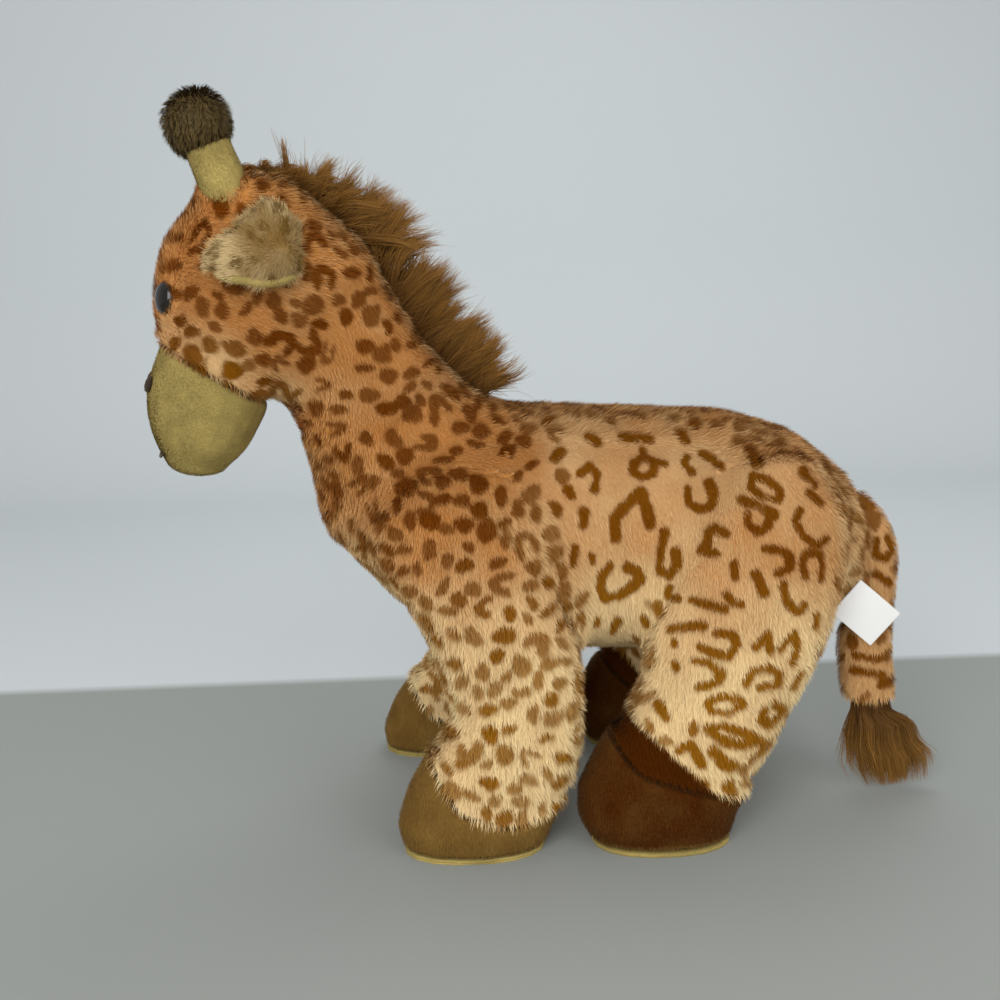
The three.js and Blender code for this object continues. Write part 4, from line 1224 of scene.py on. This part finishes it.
def spot_size(place):
    """Radius of a spot, by where it is: small on the head and large on the rump."""
    head = bend_share(place)
    radius = lerp(9.2, 10.0, smoothstep(-0.03, 0.08, place[0]))
    radius = lerp(radius, 9.0, 1 - smoothstep(0.10, 0.20, place[2]))
    return lerp(radius, 8.6, head) * MM


def joined_field(skins, name):
    """A field of several skins in one row, with 0 for a skin that hasn't got it."""
    return np.concatenate([skin.fields.get(name, np.zeros(len(skin.points))) for skin in skins])


def scatter_spots(skins, chosen, seed):
    """The chosen spots, and random ones wherever there is room."""
    rng = np.random.default_rng(seed)
    points = np.concatenate([skin.points for skin in skins])
    normals = np.concatenate([skin.normals for skin in skins])
    free = ~near_side(points, normals) & ~near_side(points * MIRROR, normals * MIRROR)
    free &= (joined_field(skins, "belly") < 0.5) & (joined_field(skins, "boot") < 0.5)
    spots = list(chosen)
    places = np.array([spot.place for spot in spots])
    radii = np.array([spot.radius for spot in spots])
    for k in rng.permutation(np.flatnonzero(free))[:SPOT_TRIES]:
        kind = "arc" if rng.random() < 0.25 else "blob"
        radius = spot_size(points[k]) * (rng.uniform(1.0, 1.5) if kind == "arc" else rng.uniform(0.7, 1.1))
        away = np.linalg.norm(places - points[k], axis=1)
        if (away < (radii + radius) * SPOT_PACKING).any():
            continue
        stretch = rng.uniform(1.0, 1.9)
        opening = rng.uniform(0.5, 1.4)
        turn = rng.uniform(0, 2 * math.pi)
        strength = rng.uniform(0.8, 1)
        thick = rng.uniform(0.34, 0.46)
        spots.append(Spot(points[k], normals[k], radius, kind, turn, stretch, thick, opening, strength))
        places = np.vstack([places, points[k]])
        radii = np.append(radii, radius)
    return spots


plush_skins = [body, *leg_skins.values(), tail_skin]
chosen_spots = photo_spots(plush_skins)
chosen_spots += mirrored(chosen_spots, plush_skins)
all_spots = scatter_spots(plush_skins, chosen_spots, 4)


# Pieces


def add_skin(name, skin, spots, slot, body_name, nodes):
    skin.colour_points(spot_mask(spots, skin.points, skin.normals) if spots else 0.0)
    piece = link(name, skin.mesh, MATERIALS[slot])
    settle(piece, body_name, nodes)


def add_body(skin):
    centre = skin.points[skin.triangles].mean(axis=1)
    rear = centre[:, 0] > -0.1
    hips = centre[:, 0] > 0.06
    front_head = bend_share(centre) > 0.7
    add_skin("body_skin", skin, all_spots, "spotted_plush", BENDING, BODY_NODES)
    parts = {
        "flank": (rear & ~hips, "torso_body"),
        "rump": (hips, "torso_body"),
        "neck": (~rear & ~front_head, BENDING),
        "head": (~rear & front_head, BENDING),
    }
    seed = 100
    for part, (chosen, body_name) in parts.items():
        for side, on_side in (("left", centre[:, 1] < 0), ("right", centre[:, 1] >= 0)):
            add_pelt(f"fur_{part}_{side}", skin, "spotted_plush", body_name, seed, spots=all_spots,
                     chosen=chosen & on_side)
            seed += 1


def add_limb(name, skin, body_name, seed):
    add_skin(f"{name}_skin", skin, all_spots, "spotted_plush", body_name, [name])
    add_pelt(f"fur_{name}", skin, "spotted_plush", body_name, seed, spots=all_spots)


add_body(body)
for leg_number, leg in enumerate(LEGS):
    add_limb(f"leg_{leg}", leg_skins[leg], f"leg_{leg}_body", 200 + leg_number)
add_limb("tail", tail_skin, "tail_body", 300)


# Velour pieces


def add_velour(node, slot, body_name, voxel, rounds, depth, rim=0.0):
    """A smooth velour skin for a node, sunk at its upright sides by rim as well."""
    def sunk(points, normals):
        return depth + rim * (1 - np.abs(normals[:, 2]))

    skin = make_skin([node], voxel, rounds, sunk, levels=0)
    plain_fields(skin, 2 * MM, 50, shag=0.4)
    add_skin(f"{node}_velour", skin, None, slot, body_name, [node])
    return skin


def add_pile(node, skin, slot, body_name, flow, seed, length, spacing):
    """The short pile that stands on a velour skin."""
    count = len(skin.points)
    skin.set(flow=np.tile(flow, (count, 1)), length=np.full(count, length))
    add_pelt(f"pile_{node}", skin, slot, body_name, seed, spacing=spacing, width=0.45 * MM, bed=0.3 * MM,
             clump=2.5 * MM)


muzzle_skin = add_velour("muzzle", "tan_velour", "head_body", 2 * MM, SMOOTH_ROUNDS, 1.2 * MM)
muzzle_flow = HEAD_BACK + [0, 0, 0.4]
add_pile("muzzle", muzzle_skin, "tan_velour", "head_body", muzzle_flow, 800, 2 * MM, 0.95 * MM)
for leg_number, leg in enumerate(LEGS):
    leg_body = f"leg_{leg}_body"
    hoof = f"hoof_{leg}"
    hoof_skin = add_velour(hoof, "brown_velour", leg_body, 2.5 * MM, SMOOTH_ROUNDS, 1.5 * MM)
    at_front = leg.startswith("front")
    hem = 1 - smoothstep(5 * MM, 9 * MM, hoof_skin.points[:, 2])
    mottled = 0.2 * noise(hoof_skin.points, 14 * MM, 90)
    hoof_skin.set(pale=np.clip(0.8 + mottled if at_front else 0.08 + mottled / 2 + hem, 0, 1))
    hoof_skin.colour_points(0.0)
    add_pile(hoof, hoof_skin, "brown_velour", leg_body, [0.1, 0, -1.0], 810 + leg_number, 3 * MM, 1.15 * MM)
    rim = 4 * MM if at_front else 0.0
    add_velour(f"sole_{leg}", "tan_velour", leg_body, 1.2 * MM, 2, 0.3 * MM, rim)
for side in ("left", "right"):
    stem = f"horn_stem_{side}"
    stem_skin = add_velour(stem, "tan_velour", "head_body", 1.5 * MM, 6, 0.8 * MM)
    add_pile(stem, stem_skin, "tan_velour", "head_body", [0.3, 0, -1.0], 820, 2 * MM, 0.95 * MM)
    add_velour(f"ear_lining_{side}", "tan_velour", f"ear_{side}_body", 1 * MM, 4, 0.3 * MM)


# Horn knobs


def add_knob(side, seed):
    node = f"horn_knob_{side}"
    skin = make_skin([node], 2 * MM, 4, 3.5 * MM)
    low, high = (np.array(corner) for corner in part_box(node))
    outward = unit(skin.points - (low + high) / 2)
    plain_fields(skin, 6.5 * MM, 64, pale=0.3, shag=1.0)
    skin.set(flow=outward * 0.2 + np.array([0.0, 0.0, -1.0]))
    add_skin(f"{node}_skin", skin, None, "knob_plush", "head_body", [node])
    add_pelt(f"fur_knob_{side}", skin, "knob_plush", "head_body", seed, spacing=0.9 * MM)


add_knob("left", 400)
add_knob("right", 401)


# Ears


def find_joint(name):
    return next(joint for joint in frame["joints"] if joint["name"] == name)


def ear_frame(side):
    """The ear's pivot, and the way back, out and up there."""
    joint = find_joint(f"ear_{side}_flop")
    out = np.cross(UP, HEAD_BACK) * (-1.0 if side == "left" else 1.0)
    return np.array(joint["pos_m"]), HEAD_BACK, out, UP


def add_ear(side, seed):
    node = f"ear_{side}"
    body_name = f"{node}_body"
    pivot, back, out, up = ear_frame(side)
    skin = make_skin([node], 1.5 * MM, 4, 1.8 * MM, levels=0)
    root = pivot + out * EAR_ROOT[0] + up * EAR_ROOT[1] + back * EAR_ROOT[2]
    fan = unit(skin.points - root)
    reach = np.linalg.norm(skin.points - root, axis=1)
    plain_fields(skin, 8 * MM, 30, shag=0.8)
    lining = Near(f"ear_lining_{side}")
    outer = skin.points + skin.normals * 2 * MM
    covered = lining.covers(outer, skin.normals, 3 * MM)
    share = reach / reach.max()
    length = lerp(5 * MM, 9 * MM, share)
    length = lerp(2 * MM, length, smoothstep(2 * MM, 9 * MM, lining.distance(outer)))
    pale = 0.1 + 0.75 * smoothstep(0.25, 0.9, share) + 0.5 * noise(skin.points, 9 * MM, seed)
    # The ear is painted darker towards the point its fur fans from.
    skin.set(flow=fan, bare=covered, length=length, dusk=0.3 * (1 - share), pale=np.clip(pale, 0, 1))
    add_skin(f"{node}_skin", skin, None, "cream_plush", body_name, [node])
    picks = np.random.default_rng(seed).permutation(len(reach))[:EAR_MARKS]
    marks = [Spot(skin.points[k], skin.normals[k], 4.5 * MM, "blob", 0.4 * k, strength=0.8) for k in picks]
    add_pelt(f"fur_{node}", skin, "cream_plush", body_name, seed, spots=marks, spacing=0.8 * MM,
             width=0.42 * MM)
    add_ear_roll(side)


def add_ear_roll(side):
    """The lining's edge, rolled outward along the ear's lower rim."""
    pivot, back, out, up = ear_frame(side)
    points = node_points(f"ear_{side}")
    stations = (points - pivot) @ -back
    rim = []
    for place in np.linspace(np.quantile(stations, 0.12), stations.max() - 1.5 * MM, 12):
        near = points[np.abs(stations - place) < 5 * MM]
        score = near @ (-up + 0.5 * out)
        weight = np.exp((score - score.max()) / (1.5 * MM))[:, None]
        rim.append((near * weight).sum(axis=0) / weight.sum())
    rim = np.array(rim)
    rim[1:-1] = (rim[:-2] + rim[1:-1] * 2 + rim[2:]) / 4
    rim += up * 1.2 * MM - out * 0.6 * MM
    mesh = tube(f"ear_roll_{side}", rim, ROLL_RADIUS * np.array([0.5, *[1.0] * 9, 0.8, 0.45]), 14)
    skin = Skin(mesh)
    plain_fields(skin, 1.6 * MM, 50)
    add_skin(f"ear_roll_{side}", skin, None, "tan_velour", f"ear_{side}_body", ())


def tube(name, path, radii, sides):
    """A closed tube along a path, as thick as the radii, with rounded ends."""
    way = unit(np.gradient(path, axis=0))
    first = unit(np.cross(way, UP))
    second = np.cross(way, first)
    angles = 2 * math.pi * np.arange(sides) / sides
    points = []
    for place, a, b, radius in zip(path, first, second, radii):
        points += [place + (a * math.cos(t) + b * math.sin(t)) * radius for t in angles]
    points += [path[0] - way[0] * radii[0] * 0.7, path[-1] + way[-1] * radii[-1] * 0.7]
    faces = grid_faces(len(path), sides, closed=True)
    faces += fan_faces(len(points) - 2, 0, sides, turned=True)
    faces += fan_faces(len(points) - 1, (len(path) - 1) * sides, sides)
    mesh = mesh_from(name, points, faces)
    turn_outward(mesh)
    mesh = subdivided(mesh, 1)
    smooth_faces(mesh)
    return mesh


add_ear("left", 500)
add_ear("right", 501)


# Eyes


def add_eye(side):
    node = f"eye_{side}"
    washer = node_points(f"eye_washer_{side}")
    hub = washer.mean(axis=0)
    axis = np.linalg.svd(washer - hub)[2][2]
    dome = node_points(node) - hub
    axis *= np.sign((dome @ axis).mean())
    radius = np.linalg.norm(dome - np.outer(dome @ axis, axis), axis=1).max()
    side_way = unit(np.cross(axis, UP))
    rise = np.cross(side_way, axis)
    centre = hub + axis * ((dome @ axis).max() - EYE_BULGE - EYE_SINK)
    points = [centre - axis * EYE_BULGE * EYE_BACK]
    for k in range(1, EYE_RINGS):
        angle = math.pi * k / EYE_RINGS
        along = -math.cos(angle) * EYE_BULGE * (EYE_BACK if k * 2 < EYE_RINGS else 1.0)
        for s in range(EYE_SPOKES):
            turn = 2 * math.pi * s / EYE_SPOKES
            out = (side_way * math.cos(turn) + rise * math.sin(turn)) * radius * math.sin(angle)
            points.append(centre + axis * along + out)
    points.append(centre + axis * EYE_BULGE)
    faces = fan_faces(0, 1, EYE_SPOKES, turned=True)
    faces += grid_faces(EYE_RINGS - 1, EYE_SPOKES, closed=True, first=1)
    faces += fan_faces(len(points) - 1, 1 + (EYE_RINGS - 2) * EYE_SPOKES, EYE_SPOKES)
    mesh = mesh_from(f"{node}_dome", points, faces)
    smooth_faces(mesh)
    piece = link(f"{node}_dome", mesh, MATERIALS["eye_plastic"])
    settle(piece, "head_body", [node])


add_eye("left")
add_eye("right")


# Mane and tuft

MANE_TOP = np.array([-0.205, -0.015, 0.478])
MANE_FOOT = np.array([-0.032, 0.0, 0.322])
MANE_OUT = unit(np.cross(MANE_TOP - MANE_FOOT, [0.0, 1.0, 0.0]))


def mane_stations(count):
    """Roots and tips along the mane's middle line, from its top to its foot."""
    points = node_points("mane_head", "mane_neck")
    way = MANE_FOOT - MANE_TOP
    share = (points - MANE_TOP) @ way / (way @ way)
    tree = body.tree()
    outward = MANE_OUT * np.sign(MANE_OUT[2])
    roots, tips = [], []
    for s in np.linspace(share.min() + 0.01, share.max() - 0.01, count):
        near = np.abs(share - s) < 0.06
        middle = points[near].mean(axis=0)[1]
        start = MANE_TOP + way * s + outward * 0.15
        start[1] = middle
        hit = mane_solids.tree.ray_cast(Vector(start), Vector(-outward))[0]
        foot = tree.ray_cast(Vector(start), Vector(-outward))[0]
        if hit is None or foot is None:
            continue
        roots.append(np.array(foot))
        tips.append(np.array(hit))
    return np.array(roots), np.array(tips)


def along_line(line, share):
    """Points at shares of the way along a line of points."""
    place = np.clip(share, 0, 1) * (len(line) - 1)
    k = np.minimum(place.astype(int), len(line) - 2)
    return lerp(line[k], line[k + 1], place - k)


def hair_values(rng, lock, locks, paleness, spread, lock_part):
    """Each strand's paleness, and its chance number, which the strands of a lock share in part."""
    values = np.zeros((len(lock), 4))
    values[:, 1] = np.clip(rng.normal(paleness, spread, len(lock)), 0, 1)
    values[:, 2] = (1 - lock_part) * rng.random(len(lock)) + lock_part * rng.random(locks)[lock]
    return values


def add_hair(name, paths, widths, facing, values, body, nodes=()):
    """Long strands along paths, each turned to face a direction."""
    way = unit(np.gradient(paths, axis=1))
    sides = unit(np.cross(way, facing[:, None]))
    normals = unit(np.cross(sides, way))
    dusk = np.zeros(len(paths))
    piece = strips(name, paths, sides, widths, values, dusk, normals, MATERIALS["long_hair"])
    settle(piece, body, nodes)


def add_mane(seed):
    rng = np.random.default_rng(seed)
    roots, tips = mane_stations(40)
    count, stops, locks, half = MANE_STRANDS, len(MANE_TAPER), MANE_LOCKS, MANE_HALF
    way = unit(roots[-1] - roots[0])
    across = unit(np.cross(way, MANE_OUT))
    share = rng.random(count)
    off = rng.uniform(-1, 1, count)
    lock_share = (np.arange(locks) + rng.random(locks)) / locks
    lock_off = rng.uniform(-1, 1, locks)
    apart = np.abs(share[:, None] - lock_share) * 30 + np.abs(off[:, None] - lock_off) * 0.8
    lock = np.argmin(apart + 0.8 * rng.random(apart.shape), axis=1)
    root = along_line(roots, share) + across * (off * half)[:, None]
    rise = along_line(tips, lock_share) - along_line(roots, lock_share)
    grown = (rng.uniform(0.5, 1.1, locks) * lerp(0.5, 1.0, smoothstep(0.0, 0.16, lock_share)))[:, None]
    lean = lerp(0.3, 0.05, lock_share) * np.linalg.norm(rise, axis=1)
    lean = (lean + rng.normal(0, 11 * MM, locks) * smoothstep(-0.1, 0.15, lock_share))[:, None]
    sway = (lock_off * half * 1.1 + rng.normal(0, 7 * MM, locks))[:, None]
    point = along_line(roots, lock_share) + rise * grown + way * lean + across * sway
    loose = rng.normal(0, 9 * MM, count) * smoothstep(-0.05, 0.2, share)
    own = root + (rise * grown)[lock] + way * (lean[lock, 0] + loose)[:, None]
    own += across * (off * half + rng.normal(0, 6 * MM, count))[:, None]
    free = rng.random(count) < 0.35
    held = np.where(free, rng.uniform(0.0, 0.4, count), rng.uniform(0.5, 0.97, count))
    end = lerp(own, point[lock], held[:, None])
    up_way = unit(rise)[lock]
    curl = rng.normal(0, 5 * MM, locks)[lock] + rng.normal(0, 1.5 * MM, count)
    bend = root + (end - root) * 0.45 + up_way * 5 * MM
    bend += across * (off * 5 * MM)[:, None] - way * curl[:, None]
    reach = rng.uniform(0.35, 1.0, count) ** 0.7
    reach = np.where(held < 0.4, reach * rng.uniform(0.7, 1.1, count), reach)
    t = np.linspace(0, 1, stops)[None, :, None] * reach[:, None, None]
    paths = root[:, None] * (1 - t) ** 2 + bend[:, None] * 2 * t * (1 - t) + end[:, None] * t**2
    wave = np.sin(t * 7 + rng.uniform(0, 6, locks)[lock][:, None, None]) * t
    paths = paths + noise_vectors(root, 4 * MM, 3)[:, None] * (wave * 3.5 * MM)
    widths = rng.uniform(0.22, 0.42, count)[:, None] * MM * np.array(MANE_TAPER)
    side = np.where(off < 0, -1.0, 1.0)[:, None] * across
    facing = unit(side + 0.5 * up_way + 0.6 * rng.normal(size=(count, 3)))
    values = hair_values(rng, lock, locks, 0.35, 0.35, 0.4)
    left = off * across[1] < 0
    for name, part in (("mane_hair_left", left), ("mane_hair_right", ~left)):
        add_hair(name, paths[part], widths[part], facing[part], values[part], BENDING)
    line = along_line(roots + unit(tips - roots) * 1 * MM, np.linspace(0, 1, 16))
    core = Skin(tube("mane_backing", line, np.full(16, BACKING_RADIUS), 12))
    plain_fields(core, 5 * MM, 20)
    add_skin("mane_backing", core, None, "long_hair", BENDING, ["mane_head", "mane_neck"])


add_mane(600)


def add_tuft(seed):
    rng = np.random.default_rng(seed)
    low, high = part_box("tail_tuft")
    points = node_points("tail_tuft")
    centres, sizes = [], []
    for z in np.linspace(high[2] - 1 * MM, low[2] + 3 * MM, 9):
        near = points[np.abs(points[:, 2] - z) < 14 * MM]
        weight = np.exp(-((near[:, 2] - z) / (7 * MM)) ** 2)[:, None]
        centre = (near * weight).sum(axis=0) / weight.sum()
        centre[2] = z
        centres.append(centre)
        sizes.append(np.sqrt((((near - centre) ** 2) * weight).sum(axis=0) / weight.sum()) * 1.35)
    centres, sizes = np.array(centres), np.array(sizes)
    count, stops, locks = TUFT_STRANDS, len(TUFT_TAPER), TUFT_LOCKS
    angle = rng.uniform(0, 2 * math.pi, count)
    out = np.sqrt(rng.random(count))
    t = np.linspace(0, 1, stops)
    reach = rng.uniform(0.4, 1.0, count) ** 0.6 * 1.06
    lock_angle = rng.uniform(0, 2 * math.pi, locks)
    lock_out = np.sqrt(rng.random(locks))
    spot_a = np.stack([out * np.cos(angle), out * np.sin(angle)], axis=1)
    spot_b = np.stack([lock_out * np.cos(lock_angle), lock_out * np.sin(lock_angle)], axis=1)
    lock = np.argmin(np.linalg.norm(spot_a[:, None] - spot_b, axis=2), axis=1)
    pulled = np.where(rng.random(count) < 0.15, 0.0, rng.uniform(0.5, 0.95, count))
    stray = np.clip(rng.normal(0, 1, count) + rng.normal(0, 1, locks)[lock], -1.5, 1.5)
    flung = (rng.random(locks) ** 2)[lock]
    reach = reach * rng.uniform(0.74, 1.1, locks)[lock]
    paths = np.zeros((count, stops, 3))
    for k in range(stops):
        share = t[k] * reach
        centre = along_line(centres, share)
        size = along_line(sizes, share)
        aim = lerp(spot_a, spot_b[lock], pulled * t[k]) * (0.8 + 0.25 * t[k] * stray)[:, None]
        aim[:, 0] += TUFT_FLING * t[k] ** 2 * flung
        paths[:, k] = centre
        paths[:, k, 0] += aim[:, 0] * size[:, 0]
        paths[:, k, 1] += aim[:, 1] * size[:, 1]
    paths[:, 0, 2] += 5 * MM
    paths += noise_vectors(paths[:, 0], 5 * MM, 9)[:, None] * (t[None, :, None] * 3 * MM)
    wave = np.sin(t * 6 + rng.uniform(0, 6, count)[:, None]) * t * rng.uniform(0.3, 2.6, count)[:, None]
    paths += unit(rng.normal(size=(count, 3)))[:, None] * wave[:, :, None] * MM
    widths = rng.uniform(0.26, 0.46, count)[:, None] * MM * np.array(TUFT_TAPER)
    facing = np.stack([np.cos(angle), np.sin(angle), np.zeros(count)], axis=1)
    facing = unit(facing + 0.6 * rng.normal(size=(count, 3)))
    values = hair_values(rng, lock, locks, 0.6, 0.25, 0.5)
    add_hair("tail_tuft_hair", paths, widths, facing, values, "tail_body", ["tail_tuft"])


add_tuft(700)


# Label: a satin ribbon, folded once, with both its ends in the seam


def ribbon_line(reach):
    """The folded ribbon from the side: out along its lower layer, round the fold and back."""
    shares = np.linspace(0, 1, 14)
    bow = RIBBON_BOW * np.sin(math.pi * shares)
    lower = np.stack([shares * reach, 0.6 * bow - RIBBON_FOLD], axis=1)
    turns = np.radians(np.linspace(-90, 90, 9)[1:-1])
    fold = np.stack([reach + RIBBON_FOLD * np.cos(turns), RIBBON_FOLD * np.sin(turns)], axis=1)
    upper = np.stack([shares * reach, RIBBON_FOLD + bow], axis=1)[::-1]
    return np.concatenate([lower, fold, upper])


def add_label():
    joint = find_joint("label_hinge")
    plate = node_points("label")
    along = unit(np.array(joint["axis"]))
    outward = unit(np.cross(along, [0.0, 1.0, 0.0]))
    outward *= np.sign((plate.mean(axis=0) - joint["pos_m"]) @ outward)
    lift = np.array([0.0, -1.0, 0.0])
    start = plate.mean(axis=0) - outward * np.ptp(plate @ outward) / 2
    line = ribbon_line(np.ptp(plate @ outward) - RIBBON_FOLD)
    way = unit(np.gradient(line, axis=0))
    inner = line + np.stack([-way[:, 1], way[:, 0]], axis=1) * RIBBON_THICKNESS
    across = np.linspace(-RIBBON_WIDTH / 2, RIBBON_WIDTH / 2, 9)
    points = []
    for a, b in (*line, *inner):
        points += [start + outward * a + lift * b + along * c for c in across]
    rows, columns = len(line), len(across)
    last = rows * columns
    sides = [(k * columns + c, columns) for k in range(rows - 1) for c in (0, columns - 1)]
    ends = [(k * columns + c, 1) for k in (0, rows - 1) for c in range(columns - 1)]
    faces = grid_faces(rows, columns) + grid_faces(rows, columns, first=last)
    faces += [(a, a + step, last + a + step, last + a) for a, step in sides + ends]
    mesh = mesh_from("label_ribbon", points, faces)
    turn_outward(mesh)
    smooth_faces(mesh)
    mesh.set_sharp_from_angle(angle=math.radians(50))
    piece = link("label_ribbon", mesh, MATERIALS["label_satin"])
    settle(piece, "label_flap", ["label"])


add_label()


# Nodes that stay as they are, with their finish

STAYING = {
    "eye_washer_left": "washer_plastic",
    "eye_washer_right": "washer_plastic",
    "nostril_left": "dark_thread",
    "nostril_right": "dark_thread",
    "mouth_thread": "dark_thread",
}
for node, slot in STAYING.items():
    frame["nodes"][node].data.materials.clear()
    frame["nodes"][node].data.materials.append(MATERIALS[slot])


# Floor, lamps and camera


def add_stage():
    shader = Shader("floor_with_painted_shade")
    grain = shader.ranged(shader.noise(3.0), 0.0, 1.0, 0.99, 1.01)
    split = shader.add("ShaderNodeSeparateXYZ")
    shader.feed(split, 0, shader.place())
    # Painted shade: the near floor grey, and light further back.
    far_share = shader.ranged(split.outputs["Y"], *FLOOR_EDGE, 0.0, 1.0)
    material = shader.finish(shader.scaled(shader.mix(far_share, SHADED_FLOOR, WALL), grain), 0.8)
    outline = [(STAGE_NEAR, 0.0), (STAGE_FAR, 0.0)]
    for k in range(1, STAGE_STEPS + 1):
        angle = math.radians(90 * k / STAGE_STEPS)
        outline.append((STAGE_FAR + STAGE_BEND * math.sin(angle), STAGE_BEND * (1 - math.cos(angle))))
    outline.append((STAGE_FAR + STAGE_BEND, STAGE_HEIGHT))
    points = [(x, y, z) for y, z in outline for x in (-STAGE_WIDTH / 2, STAGE_WIDTH / 2)]
    mesh = mesh_from("floor_and_backdrop", points, grid_faces(len(outline), 2))
    smooth_faces(mesh)
    link("floor_and_backdrop", mesh, material)


def add_lamp(name, place, target, size, power):
    lamp = bpy.data.lights.new(name, "AREA")
    lamp.shape = "SQUARE"
    lamp.size = size
    lamp.energy = power
    holder = place_object(name, lamp)
    holder.location = place
    holder.rotation_euler = (Vector(target) - Vector(place)).to_track_quat("-Z", "Y").to_euler()


def add_world(strength):
    world = bpy.data.worlds.new("soft_room")
    world.use_nodes = True
    background = world.node_tree.nodes["Background"]
    background.inputs["Color"].default_value = (1, 1, 1, 1)
    background.inputs["Strength"].default_value = strength
    bpy.context.scene.world = world


def add_camera():
    right, upward, forward = camera_axes()
    data = bpy.data.cameras.new("camera")
    data.sensor_width = SENSOR
    data.lens = SENSOR * FOCAL_PIXELS / PHOTO_SIDE
    camera = place_object("camera", data)
    camera.location = CAMERA_PLACE
    camera.rotation_mode = "QUATERNION"
    columns = (right, upward, -forward)
    turn = [[column[row] for column in columns] for row in range(3)]
    camera.rotation_quaternion = Matrix(turn).to_quaternion()
    bpy.context.scene.camera = camera


add_stage()
add_world(WORLD_STRENGTH)
for settings in LAMPS:
    add_lamp(*settings)
add_camera()
bpy.context.scene.view_settings.view_transform = "Standard"
